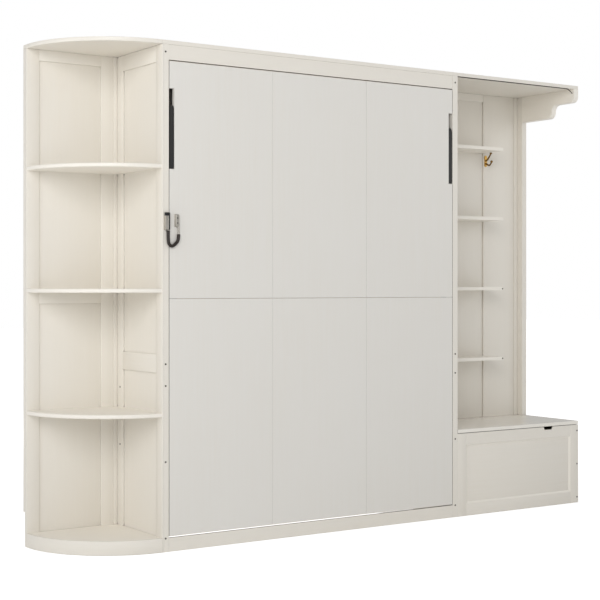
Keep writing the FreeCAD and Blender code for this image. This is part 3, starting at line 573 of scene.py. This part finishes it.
def islands(node: str) -> list[tuple[Vector, Vector]]:
    """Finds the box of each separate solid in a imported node.

    Args:
        node: the node's name.

    Returns:
        Lowest and highest corner of each solid, ordered by height, then depth, then side.
    """
    mesh = bpy.data.objects[node].data
    owner: dict[tuple[int, ...], tuple[int, ...]] = {}

    def root(key: tuple[int, ...]) -> tuple[int, ...]:
        """Finds the key that stands for a group."""
        while owner[key] != key:
            owner[key] = owner[owner[key]]
            key = owner[key]
        return key

    keys = [tuple(round(c / SAME_POINT) for c in v.co) for v in mesh.vertices]
    for key in keys:
        owner.setdefault(key, key)
    for polygon in mesh.polygons:
        first = root(keys[polygon.vertices[0]])
        for index in polygon.vertices[1:]:
            owner[root(keys[index])] = first
    groups: dict[tuple[int, ...], list[Vector]] = {}
    for key, vert in zip(keys, mesh.vertices):
        groups.setdefault(root(key), []).append(vert.co)
    boxes = []
    for points in groups.values():
        lo = Vector(min(p[i] for p in points) for i in range(3))
        hi = Vector(max(p[i] for p in points) for i in range(3))
        boxes.append((lo, hi))
    return sorted(boxes, key=lambda b: (round(b[0].z, 4), round(b[0].y, 4), b[0].x))


def facing(point: Vector, direction: Vector) -> Matrix:
    """Places a piece that was made about Z so that its axis points in a direction.

    Args:
        point: where the piece's origin goes.
        direction: where its Z axis points.

    Returns:
        The matrix.
    """
    return Matrix.Translation(point) @ direction.to_track_quat("Z", "Y").to_matrix().to_4x4()


# Sub-assemblies ------------------------------------------------------------------------------


@dataclass
class Joinery:
    """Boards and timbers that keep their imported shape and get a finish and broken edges."""

    name: str
    finish: Finish
    nodes: tuple[str, ...]
    ease_mm: float = 0.0
    segments: int = 2
    flat_deg: float = 0.5
    sharp_deg: float = 50.0

    def build(self) -> None:
        """Dresses every board."""
        for node in self.nodes:
            piece = bpy.data.objects[node]
            for slot in piece.material_slots:
                slot.material = self.finish.material()
            if self.ease_mm > 0.0:
                self.break_edges(piece)
            LOG.info("%s: %s in %s", self.name, node, self.finish.name)

    def break_edges(self, piece: bpy.types.Object) -> None:
        """Rounds the sharp edges of a board, as sanding before paint does.

        Args:
            piece: the board.
        """
        weld = piece.modifiers.new("weld", "WELD")
        weld.merge_threshold = SAME_POINT
        flat = piece.modifiers.new("flat", "DECIMATE")
        flat.decimate_type = "DISSOLVE"
        flat.angle_limit = math.radians(self.flat_deg)
        edge = piece.modifiers.new("edge", "BEVEL")
        edge.width = self.ease_mm * MM
        edge.segments = self.segments
        edge.limit_method = "ANGLE"
        edge.angle_limit = math.radians(self.sharp_deg)
        edge.harden_normals = True


@dataclass
class FramedBoards:
    """Groups of plain boards, each with its own broken edges, so that their joints show as fine lines."""

    name: str
    finish: SprayedLacquer | PlanedPine
    nodes: tuple[str, ...]
    slot: str
    body: str
    ease_mm: float = 1.0
    block_faces: int = 12  # a plain board is packed as two triangles a side

    def boards(self, node: str) -> list[tuple[Vector, Vector]]:
        """Finds each board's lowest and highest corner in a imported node.

        Args:
            node: the node's name.

        Returns:
            The corners of each board, in packed order.
        """
        mesh = bpy.data.objects[node].data
        found = []
        for start in range(0, len(mesh.polygons), self.block_faces):
            sides = mesh.polygons[start : start + self.block_faces]
            points = [mesh.vertices[index].co for side in sides for index in side.vertices]
            lo = Vector([min(p[i] for p in points) for i in range(3)])
            hi = Vector([max(p[i] for p in points) for i in range(3)])
            found.append((lo, hi))
        return found

    def build(self) -> None:
        """Makes a board in place of each packed one, with its grain along its longest side."""
        grains = (Grain.ALONG, Grain.DEEP, Grain.UP)
        finishes = [
            replace(self.finish, name=f"{self.finish.name}_{grain.name.lower()}", grain=grain)
            for grain in grains
        ]
        for node in self.nodes:
            parts = []
            for lo, hi in self.boards(node):
                board = block(lo, hi, self.ease_mm * MM, 2)
                size = hi - lo
                longest = max(range(3), key=lambda i: size[i])
                for face in board.faces:
                    face.material_index = longest
                parts.append((board, Matrix.Identity(4)))
            made = as_object(joined(parts, node), f"{node}_eased", finishes[0], self.body)
            for finish in finishes[1:]:
                made.data.materials.append(finish.material())
            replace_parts(made, node)
            LOG.info("%s: %s, %d boards", self.name, node, len(parts))


@dataclass
class CoverCaps:
    """Push-in caps over the joining screws, each with a rolled rim and a dished middle."""

    radius_mm: float = 4.2
    height_mm: float = 1.15
    dish_mm: float = 0.55
    dip_mm: float = 0.05
    rim: tuple[tuple[float, float], ...] = ((1.0, 0.0), (1.0, 0.4), (0.96, 0.75), (0.86, 1.0), (0.7, 0.97))
    node: str = "cover_caps"

    def cap(self) -> bmesh.types.BMesh:
        """Turns one cap, standing on the XY plane."""
        r, h = self.radius_mm * MM, self.height_mm * MM
        dish, dip = h - self.dish_mm * MM, self.dip_mm * MM
        profile = [(across * r, up * h) for across, up in self.rim]
        profile += [(0.58 * r, dish), (0.3 * r, dish - dip), (0.02 * r, dish - dip)]
        return turned(profile, 24)

    def build(self) -> None:
        """Makes a cap on each packed one."""
        parts = []
        for lo, hi in islands(self.node):
            size = hi - lo
            axis = min(range(3), key=lambda i: size[i])
            centre = (lo + hi) / 2.0
            centre[axis] = hi[axis]
            away = Vector(-1.0 if i == axis else 0.0 for i in range(3))
            parts.append((self.cap(), facing(centre, away)))
        piece = as_object(joined(parts, "caps"), "cover_caps_dished", CAP_BROWN, "cabinet")
        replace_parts(piece, self.node)
        LOG.info("cover caps: %d", len(parts))


@dataclass
class CrossHeadScrews:
    """Domed screw heads with a cross recess."""

    node: str
    name: str
    finish: Finish
    slot: str
    body: str
    radius_mm: float = 3.0
    height_mm: float = 1.0
    arm_mm: float = 1.7
    blade_mm: float = 0.55
    deep_mm: float = 0.6
    cut_ease_mm: float = 0.05

    def head(self) -> bmesh.types.BMesh:
        """Turns one head, standing on the XY plane, and sinks the cross into it."""
        r, h = self.radius_mm * MM, self.height_mm * MM
        rise = [math.radians(a) for a in range(10, 90, 16)]
        profile = [(r, 0.0)] + [(r * math.cos(a), h * math.sin(a)) for a in rise] + [(0.02 * r, h)]
        head = turned(profile, 24)
        mesh = bpy.data.meshes.new("head")
        head.to_mesh(mesh)
        head.free()
        solid = bpy.data.objects.new("head", mesh)
        bpy.context.scene.collection.objects.link(solid)
        cutters = []
        for long_x, long_y in ((self.arm_mm, self.blade_mm), (self.blade_mm, self.arm_mm)):
            reach = Vector((long_x, long_y, 0.0)) * MM
            floor = Vector((0.0, 0.0, h - self.deep_mm * MM))
            bar = block(floor - reach, reach + Vector((0.0, 0.0, 2.0 * h)), self.cut_ease_mm * MM, 1)
            cut = bpy.data.objects.new("cut", joined([(bar, Matrix.Identity(4))], "cut"))
            bpy.context.scene.collection.objects.link(cut)
            sink = solid.modifiers.new("cut", "BOOLEAN")
            sink.object = cut
            sink.solver = "EXACT"
            cutters.append(cut)
        bpy.context.view_layer.update()
        seen = solid.evaluated_get(bpy.context.evaluated_depsgraph_get())
        made = bmesh.new()
        made.from_mesh(seen.to_mesh())
        for spare in (solid, *cutters):
            bpy.data.objects.remove(spare)
        return made

    def build(self) -> None:
        """Makes a head on each packed screw."""
        parts = []
        for lo, hi in islands(self.node):
            centre = (lo + hi) / 2.0
            centre.y = hi.y
            parts.append((self.head(), facing(centre, TOWARDS_ROOM)))
        piece = as_object(joined(parts, self.name), self.name, self.finish, self.body)
        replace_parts(piece, self.node)
        LOG.info("%s: %d heads", self.name, len(parts))


@dataclass
class CableLatch:
    """Cable restrictor: a lock on the stile, and a sheathed cable that goes back to a keeper on the face."""

    cable_mm: float = 14.4
    bends_mm: tuple[tuple[float, float], ...] = (
        (0.0, 0.0), (0.0, -36.0), (3.0, -59.0), (20.0, -69.0), (38.0, -55.0)
    )
    lead_mm: float = 26.0
    plate_mm: float = 3.0
    plate_ease_mm: float = 0.8
    cover_inset_mm: float = 1.3
    cover_ease_mm: float = 2.6
    cover_step_mm: float = 1.2
    cover_share: tuple[float, float] = (0.68, 0.8)
    barrel_mm: float = 5.0
    barrel_rise_mm: float = 1.4
    barrel_at: tuple[float, float] = (0.36, 0.58)
    barrel_lip: tuple[float, float] = (0.72, 0.66)
    key_mm: tuple[float, float] = (1.1, 6.0)
    key_ease_mm: float = 0.1
    key_share: float = 0.3
    groove_mm: float = 0.6
    boss_ease_mm: float = 0.4
    boss_share: float = 0.3

    def route(self) -> list[Vector]:
        """Gives the cable's points, from the plug down and round to the ferrule."""
        ferrule, plug = islands("cable_fittings")
        start = (plug[0] + plug[1]) / 2.0
        start.z = plug[0].z
        end = (ferrule[0] + ferrule[1]) / 2.0
        end.z = ferrule[0].z
        points = [start + Vector((x, 0.0, z)) * MM for x, z in self.bends_mm]
        points.append(end + Vector((0.0, 0.0, -self.lead_mm)) * MM)
        points.append(end)
        return points

    def cable(self, points: Sequence[Vector]) -> bpy.types.Object:
        """Makes the sheathed cable on one smooth curve.

        Args:
            points: the curve's control points.

        Returns:
            The curve object.
        """
        curve = bpy.data.curves.new("latch_cable_sheath", "CURVE")
        curve.dimensions = "3D"
        curve.bevel_depth = self.cable_mm / 2.0 * MM
        curve.bevel_resolution = 6
        curve.resolution_u = 16
        curve.use_fill_caps = True
        spline = curve.splines.new("NURBS")
        spline.points.add(len(points) - 1)
        for control, point in zip(spline.points, points):
            control.co = (*point, 1.0)
        spline.order_u = 3
        spline.use_endpoint_u = True
        return as_object(curve, "latch_cable_sheath", SHEATH_AND_SHADOW_STRIP, "bed")

    def ringed(self, lo: Vector, hi: Vector, rings: int) -> tuple[bmesh.types.BMesh, Matrix]:
        """Turns an upright fitting with crimped grooves round it.

        Args:
            lo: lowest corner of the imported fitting.
            hi: its highest corner.
            rings: number of grooves.

        Returns:
            The solid and the matrix that places it.
        """
        radius, tall, groove = (hi.x - lo.x) / 2.0, hi.z - lo.z, self.groove_mm * MM
        profile = [(radius - groove, 0.0), (radius, groove)]
        for index in range(rings):
            middle = tall * (index + 1.0) / (rings + 1.0)
            for offset, depth in ((-1.6, 0.0), (-0.8, 1.0), (0.8, 1.0), (1.6, 0.0)):
                profile.append((radius - depth * groove, middle + offset * groove))
        profile += [(radius, tall - groove), (radius - groove, tall)]
        return turned(profile), Matrix.Translation(((lo.x + hi.x) / 2.0, (lo.y + hi.y) / 2.0, lo.z))

    def fittings(self) -> bpy.types.Object:
        """Makes the plug and the crimped ferrule at the cable's two ends."""
        ferrule, plug = islands("cable_fittings")
        mesh = joined([self.ringed(*ferrule, 3), self.ringed(*plug, 1)], "cable_ends")
        made = as_object(mesh, "cable_end_fittings", NICKEL, "bed")
        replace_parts(made, "cable_fittings")
        return made

    def cased(self, node: str) -> list[tuple[bmesh.types.BMesh, Matrix]]:
        """Makes a base plate with a rounded cover on it in a packed fitting's box.

        Args:
            node: the fitting's node.

        Returns:
            The two solids with their places.
        """
        lo, hi = (Vector(corner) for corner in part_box(node))
        inset = Vector((self.cover_inset_mm, 0.0, self.cover_inset_mm)) * MM
        seat = hi.y - self.plate_mm * MM
        plate = block(Vector((lo.x, seat, lo.z)), hi, self.plate_ease_mm * MM)
        cover = block(lo + inset, Vector((hi.x, seat + MM, hi.z)) - inset, self.cover_ease_mm * MM, 5)
        return [(plate, Matrix.Identity(4)), (cover, Matrix.Identity(4))]

    def lock(self) -> None:
        """Makes the lock: a dark housing, a nickel cover over its left and lower part, barrel, and a black
        keyway block that paints the key slot's shade.
        """
        lo, hi = (Vector(corner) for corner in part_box("lock_body"))
        seat, housing = self.cased("lock_body")
        radius, rise, groove = self.barrel_mm * MM, self.barrel_rise_mm * MM, self.groove_mm * MM
        span = hi - lo
        across, up = self.barrel_at
        face = Vector((lo.x + across * span.x, lo.y + rise, lo.z + up * span.z))
        for vert in housing[0].verts:
            vert.co.y = max(vert.co.y, lo.y + rise + self.cover_step_mm * MM)
        wide, tall = self.cover_share
        cover_lo = lo + Vector((0.0, rise, self.cover_inset_mm * MM))
        cover_hi = Vector((lo.x + wide * span.x, hi.y - self.plate_mm * MM, lo.z + tall * span.z))
        cover = block(cover_lo, cover_hi, self.plate_ease_mm * MM)
        parts = [seat, (cover, Matrix.Identity(4))]
        lip, core = (share * radius for share in self.barrel_lip)
        barrel = [(radius, -groove), (radius, rise - groove), (radius - groove, rise), (lip, rise)]
        barrel += [(core, rise - groove), (0.02 * radius, rise - groove)]
        parts.append((turned(barrel), facing(face, TOWARDS_ROOM)))
        body = as_object(joined(parts, "lock"), "lock_body_with_barrel", NICKEL, "cabinet")
        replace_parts(body, "lock_body")
        as_object(joined([housing], "housing"), "lock_housing", BLACK_ENAMEL_AND_SLOT_SHADE, "cabinet")
        # painted shade: the keyway is a black block on the barrel's face, standing for the shade inside the
        # key slot
        half = Vector((self.key_mm[0] / 2.0, 0.0, self.key_mm[1] / 2.0)) * MM
        slit = Vector((face.x, lo.y + groove, face.z))
        deep = Vector((0.0, groove, 0.0))
        key = block(slit - half - self.key_share * deep, slit + half + deep, self.key_ease_mm * MM)
        keyway = joined([(key, Matrix.Identity(4))], "keyway")
        as_object(keyway, "lock_keyway", BLACK_ENAMEL_AND_SLOT_SHADE, "cabinet")

    def keeper(self) -> None:
        """Makes the keeper with the boss that holds the ferrule."""
        lo, hi = (Vector(corner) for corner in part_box("cable_keeper"))
        ferrule = islands("cable_fittings")[0]
        parts = self.cased("cable_keeper")
        radius, ease = (ferrule[1].x - ferrule[0].x) / 2.0, self.boss_ease_mm * MM
        profile = [(radius - ease, 0.0), (radius, ease), (radius, self.boss_share * (hi.z - lo.z))]
        middle = (ferrule[0] + ferrule[1]) / 2.0
        parts.append((turned(profile), Matrix.Translation((middle.x, middle.y, lo.z))))
        made = as_object(joined(parts, "keeper"), "cable_keeper_cased", NICKEL, "bed")
        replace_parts(made, "cable_keeper")

    def build(self) -> None:
        """Makes the latch's pieces."""
        points = self.route()
        cable = self.cable(points)
        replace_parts(cable, "latch_cable")
        runs = bpy.data.meshes.new_from_object(bare(cable))
        self.fittings()
        self.lock()
        self.keeper()
        CrossHeadScrews("keeper_screws", "keeper_screw_heads", BLACKED_STEEL, "screw_steel", "bed").build()
        LOG.info("latch: lock body, cable with its ends, keeper")


def bare(piece: bpy.types.Object) -> bpy.types.Object:
    """Copies a curve without its thickness, so that its line can be read.

    Args:
        piece: a curve object.

    Returns:
        An object outside the scene.
    """
    copy = piece.copy()
    copy.data = piece.data.copy()
    copy.data.bevel_depth = 0.0
    return copy


@dataclass
class CoatHook:
    """Double coat hook: a round-ended plate, a straight upper arm and a curled lower arm, with knobs."""

    plate_mm: tuple[float, float, float] = (18.0, 4.0, 62.0)
    foot_mm: float = 12.0
    lower_mm: tuple[tuple[float, float], ...] = ((-1.0, 8.0), (16.0, -4.0), (36.0, -6.0), (46.0, 14.0))
    upper_mm: tuple[tuple[float, float], ...] = ((-1.0, 20.0), (22.0, 30.0), (40.0, 60.0))
    arm_mm: float = 4.8
    taper: float = 0.78
    knob_mm: float = 6.9
    knob_squash: float = 0.92
    plate_layers: tuple[tuple[float, float], ...] = ((0.0, 1.0), (0.6, 1.0), (0.88, 0.95), (1.0, 0.84))
    node: str = "coat_hook"

    def plate(self, centre: Vector) -> bmesh.types.BMesh:
        """Cuts the plate with half-round ends and a rolled front edge.

        Args:
            centre: middle of the plate's back.

        Returns:
            The plate.
        """
        wide, thick, tall = (size * MM for size in self.plate_mm)
        made = bmesh.new()
        steps, radius = 24, wide / 2.0
        rings = []
        for depth, share in self.plate_layers:
            ring = []
            for step in range(steps):
                angle = 2.0 * math.pi * (step + 0.5) / steps
                rise = math.copysign(tall / 2.0 - radius, math.sin(angle))
                across, up = share * radius * math.cos(angle), share * radius * math.sin(angle)
                ring.append(made.verts.new(centre + Vector((across, -thick * depth, rise + up))))
            rings.append(ring)
        for back, front in zip(rings, rings[1:]):
            for step in range(steps):
                after = (step + 1) % steps
                made.faces.new((back[step], back[after], front[after], front[step])).smooth = True
        made.faces.new(rings[0])
        made.faces.new(list(reversed(rings[-1])))
        bmesh.ops.recalc_face_normals(made, faces=made.faces)
        return made

    def arm(self, points: Sequence[Vector]) -> bmesh.types.BMesh:
        """Draws one tapered arm along a smooth curve.

        Args:
            points: the curve's control points, from the plate outwards.

        Returns:
            The arm.
        """
        curve = bpy.data.curves.new("arm", "CURVE")
        curve.dimensions = "3D"
        curve.bevel_depth = self.arm_mm * MM
        curve.bevel_resolution = 5
        curve.use_fill_caps = True
        spline = curve.splines.new("NURBS")
        spline.points.add(len(points) - 1)
        for index, (control, point) in enumerate(zip(spline.points, points)):
            control.co = (*point, 1.0)
            control.radius = 1.0 + (self.taper - 1.0) * index / (len(points) - 1)
        spline.order_u = 3
        spline.use_endpoint_u = True
        holder = bpy.data.objects.new("arm", curve)
        made = bmesh.new()
        made.from_mesh(bpy.data.meshes.new_from_object(holder))
        bmesh.ops.remove_doubles(made, verts=made.verts, dist=SAME_POINT)
        for face in made.faces:
            face.smooth = True
        bpy.data.objects.remove(holder)
        return made

    def knob(self) -> bmesh.types.BMesh:
        """Turns the flattened ball at an arm's end, about its own middle."""
        radius = self.knob_mm * MM
        angles = [math.radians(a) for a in range(-84, 85, 12)]
        profile = [(radius * math.cos(a), self.knob_squash * radius * math.sin(a)) for a in angles]
        return turned(profile, 24)

    def build(self) -> None:
        """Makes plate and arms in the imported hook's place."""
        lo, hi = (Vector(corner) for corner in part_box(self.node))
        x = (lo.x + hi.x) / 2.0
        centre = Vector((x, hi.y, lo.z + self.plate_mm[2] / 2.0 * MM))
        plate = joined([(self.plate(centre), Matrix.Identity(4))], "hook_plate")
        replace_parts(as_object(plate, "coat_hook_plate", BRASS, "cabinet"), self.node)
        face, foot = hi.y - self.plate_mm[1] * MM, lo.z + self.foot_mm * MM
        parts = []
        for wire in (self.lower_mm, self.upper_mm):
            points = [Vector((x, face - reach * MM, foot + rise * MM)) for reach, rise in wire]
            parts.append((self.arm(points), Matrix.Identity(4)))
            parts.append((self.knob(), facing(points[-1], points[-1] - points[-2])))
        # the arms take the dark brass that paints their dark reflections
        arms = as_object(joined(parts, "hook_arms"), "coat_hook_arms", BRASS_PAINTED_DARK, "cabinet")
        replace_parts(arms, self.node)
        CrossHeadScrews("hook_screws", "hook_screw_heads", BRASS, "old_brass", "cabinet").build()
        LOG.info("coat hook: plate, two arms, screws")


# Studio --------------------------------------------------------------------------------------


@dataclass(frozen=True)
class Softbox:
    """A large soft light: where it stands, where it aims, its sides, power and colour."""

    name: str
    place: tuple[float, float, float]
    aim: tuple[float, float, float]
    size: tuple[float, float]
    watts: float
    colour: str = "#FFFFFF"

    def build(self) -> None:
        """Hangs the light."""
        lamp = bpy.data.lights.new(self.name, "AREA")
        lamp.shape = "RECTANGLE"
        lamp.size, lamp.size_y = self.size
        lamp.energy = self.watts
        lamp.color = linear(self.colour)[:3]
        made = bpy.data.objects.new(self.name, lamp)
        made.matrix_world = facing(Vector(self.place), Vector(self.place) - Vector(self.aim))
        bpy.context.scene.collection.objects.link(made)


@dataclass
class Studio:
    """Pale floor and sky, soft lights and the camera.

    The floor glows a little away from the object, and in a strip inside the bed cabinet, which shows bright
    through the gap at the foot of the face.
    """

    eye: tuple[float, float, float] = (-3.8791, -5.5461, 1.1597)
    turn_deg: float = 33.83
    lens_mm: float = 82.65
    drop: float = -0.0228
    sky: float = 0.47
    floor_m: float = 60.0
    floor_colour: str = "#F4F4F3"
    floor_roughness: float = 0.9
    view_m: float = 200.0
    glow_m: tuple[float, float] = (1.8, 4.5)
    glow: tuple[float, float] = (0.02, 0.2)
    paper_white: float = 0.5
    strip_x: tuple[float, float] = (-0.98, 0.42)
    strip_y: tuple[float, float] = (-0.12, 0.2)
    strip_edge_m: float = 0.06
    strip_glow: float = 1.2
    boxes: tuple[Softbox, ...] = field(
        default_factory=lambda: (
            Softbox("key", (-4.6, -5.2, 3.4), (0.0, 0.0, 1.1), (3.0, 3.0), 155.0),
            Softbox("right", (5.2, -4.0, 2.8), (0.6, 0.0, 1.1), (2.5, 3.0), 25.0),
            Softbox("left", (-6.5, -1.0, 2.2), (-0.5, 0.0, 1.1), (3.0, 3.0), 39.0),
            Softbox("behind", (0.5, 5.5, 3.2), (0.0, 0.0, 1.1), (4.0, 3.0), 60.0),
        )
    )

    def build(self) -> None:
        """Makes floor, sky, lights and camera."""
        self.floor()
        self.world()
        for box in self.boxes:
            box.build()
        lens = bpy.data.cameras.new("camera")
        lens.lens = self.lens_mm
        lens.shift_y = self.drop
        lens.clip_end = self.view_m
        camera = bpy.data.objects.new("camera", lens)
        camera.location = self.eye
        camera.rotation_euler = (math.radians(90.0), 0.0, math.radians(-self.turn_deg))
        bpy.context.scene.collection.objects.link(camera)
        bpy.context.scene.camera = camera
        bpy.context.scene.view_settings.view_transform = "Standard"
        LOG.info("studio: %d softboxes", len(self.boxes))

    def floor(self) -> None:
        """Lays the floor, a pale matt sheet that glows softly."""
        mesh = bpy.data.meshes.new("floor")
        half = self.floor_m / 2.0
        corners = [(-half, -half, 0.0), (half, -half, 0.0), (half, half, 0.0), (-half, half, 0.0)]
        mesh.from_pydata(corners, [], [(0, 1, 2, 3)])
        sheet = bpy.data.objects.new("studio_floor", mesh)
        bpy.context.scene.collection.objects.link(sheet)
        paper = bpy.data.materials.new("pale_paper")
        paper.use_nodes = True
        tree = paper.node_tree
        shader = tree.nodes["Principled BSDF"]
        shader.inputs["Base Color"].default_value = linear(self.floor_colour)
        shader.inputs["Roughness"].default_value = self.floor_roughness
        shader.inputs["Emission Color"].default_value = linear("#FFFFFF")
        place = add(tree, "ShaderNodeTexCoord").outputs["Object"]
        away = add(tree, "ShaderNodeVectorMath", {0: place}, operation="LENGTH")
        (near, far), (faint, full) = self.glow_m, self.glow
        glow = add(
            tree,
            "ShaderNodeMapRange",
            {0: away.outputs["Value"], 1: near, 2: far, 3: faint, 4: full},
            interpolation_type="SMOOTHSTEP",
        )
        strip = add(
            tree,
            "ShaderNodeMath",
            {0: self.within(tree, place), 1: self.strip_glow, 2: glow.outputs[0]},
            operation="MULTIPLY_ADD",
        )
        path = add(tree, "ShaderNodeLightPath")
        paper_white = add(
            tree,
            "ShaderNodeMath",
            {0: path.outputs["Is Camera Ray"], 1: self.paper_white, 2: strip.outputs[0]},
            operation="MULTIPLY_ADD",
        )
        tree.links.new(paper_white.outputs[0], shader.inputs["Emission Strength"])
        mesh.materials.append(paper)

    def within(self, tree: bpy.types.NodeTree, place: bpy.types.NodeSocket) -> bpy.types.NodeSocket:
        """Marks a soft-edged strip of floor inside the bed cabinet.

        Args:
            tree: the floor's tree.
            place: the floor's coordinates in metres.

        Returns:
            One inside the strip, falling to nought at its edges.
        """
        split = add(tree, "ShaderNodeSeparateXYZ", {0: place})
        share: bpy.types.NodeSocket | float = 1.0
        for axis, (low, high) in (("X", self.strip_x), ("Y", self.strip_y)):
            for start, end in ((low, low + self.strip_edge_m), (high, high - self.strip_edge_m)):
                edge = add(
                    tree,
                    "ShaderNodeMapRange",
                    {0: split.outputs[axis], 1: start, 2: end},
                    interpolation_type="SMOOTHSTEP",
                )
                factors = {0: edge.outputs[0], 1: share}
                share = add(tree, "ShaderNodeMath", factors, operation="MULTIPLY").outputs[0]
        return share

    def world(self) -> None:
        """Makes a sky that lights softly, and shows as white behind the object."""
        world = bpy.data.worlds.new("studio")
        world.use_nodes = True
        tree = world.node_tree
        tree.nodes.clear()
        path = add(tree, "ShaderNodeLightPath")
        soft = add(tree, "ShaderNodeBackground", {"Color": linear("#FFFFFF"), "Strength": self.sky})
        white = add(tree, "ShaderNodeBackground", {"Color": linear("#FFFFFF"), "Strength": 1.0})
        mix = add(
            tree,
            "ShaderNodeMixShader",
            {0: path.outputs["Is Camera Ray"], 1: soft.outputs[0], 2: white.outputs[0]},
        )
        add(tree, "ShaderNodeOutputWorld", {"Surface": mix.outputs[0]})
        bpy.context.scene.world = world


# Pieces by finish ----------------------------------------------------------------------------

UPRIGHT_BOARDS = ("side_board_left", "side_board_right", "hall_return")
LEVEL_BOARDS = (
    "header_board", "toe_board", "top_board_centre", "top_board_left", "top_board_right", "hall_back_rail",
    "bench_top_rail", "seat_strip", "left_plinth",
)
# these boards get the paler lacquer that paints extra light on them
BRIGHT_BOARDS = ("left_shelves", "hall_shelves", "bench_moulding", "left_deck", "scalloped_bracket")
FRAMES = ("side_trim", "bench_frame", "scribe_strips", "bench_carcass")
BACKS = ("left_back_frame", "panel_fields", "corner_strips", "hall_back_boards")
FACES = (
    "face_lower_left", "face_lower_middle", "face_lower_right",
    "face_upper_left", "face_upper_middle", "face_upper_right",
)
BED_RAILS = ("bed_rail_left", "bed_rail_right", "bed_end_rails")
PIVOTS = ("pivot_mounts", "bed_pivot_plates", "leg_bolts", "strut_mounts")


def main() -> None:
    """Builds the object's looks in order."""
    logging.basicConfig(level=logging.INFO, format="%(name)s %(message)s")
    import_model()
    Studio().build()
    CableLatch().build()
    groups = (
        Joinery("boards", BOARD_UP, UPRIGHT_BOARDS, ease_mm=1.0),
        Joinery("boards", BOARD_ALONG, LEVEL_BOARDS, ease_mm=1.0),
        Joinery("shelves and moulding", SHELF_PAINTED_LIGHT, BRIGHT_BOARDS),
        Joinery("lid", LID_TOP, ("bench_lid",)),
        Joinery("face", FACE_UP, FACES),
        Joinery("bed frame", NEAR_BLACK_RAILS, BED_RAILS, ease_mm=1.5),
        Joinery("wall rails", PINE_ALONG, ("wall_rails",), ease_mm=1.5),
        Joinery("legs", LEG_BLACK, ("leg_left", "leg_right"), ease_mm=1.5),
        Joinery("pivots", ZINC, PIVOTS, ease_mm=0.5),
        Joinery("lid hinges", ZINC, ("lid_hinge_fixed", "lid_hinge_moving")),
        Joinery("gas struts", BLACK_ENAMEL_AND_SLOT_SHADE, ("strut_tube_left", "strut_tube_right")),
        Joinery("gas struts", CHROME, ("strut_rod_left", "strut_rod_right")),
        # painted shadow: a black strip under the hall top's front edge, standing for the shadow line there
        Joinery("bead", SHEATH_AND_SHADOW_STRIP, ("top_edge_bead",)),
    )
    for group in groups:
        group.build()
    FramedBoards("frames", LACQUER, FRAMES, "painted_board", "cabinet").build()
    FramedBoards("backs", BACK_UP, BACKS, "painted_board", "cabinet").build()
    FramedBoards("bed deck", PINE, ("deck_battens", "slats"), "bare_timber", "bed", ease_mm=1.5).build()
    FramedBoards("stops", PINE, ("bed_stops",), "bare_timber", "cabinet", ease_mm=1.5).build()
    CoverCaps().build()
    CoatHook().build()


if __name__ == "__main__":
    main()
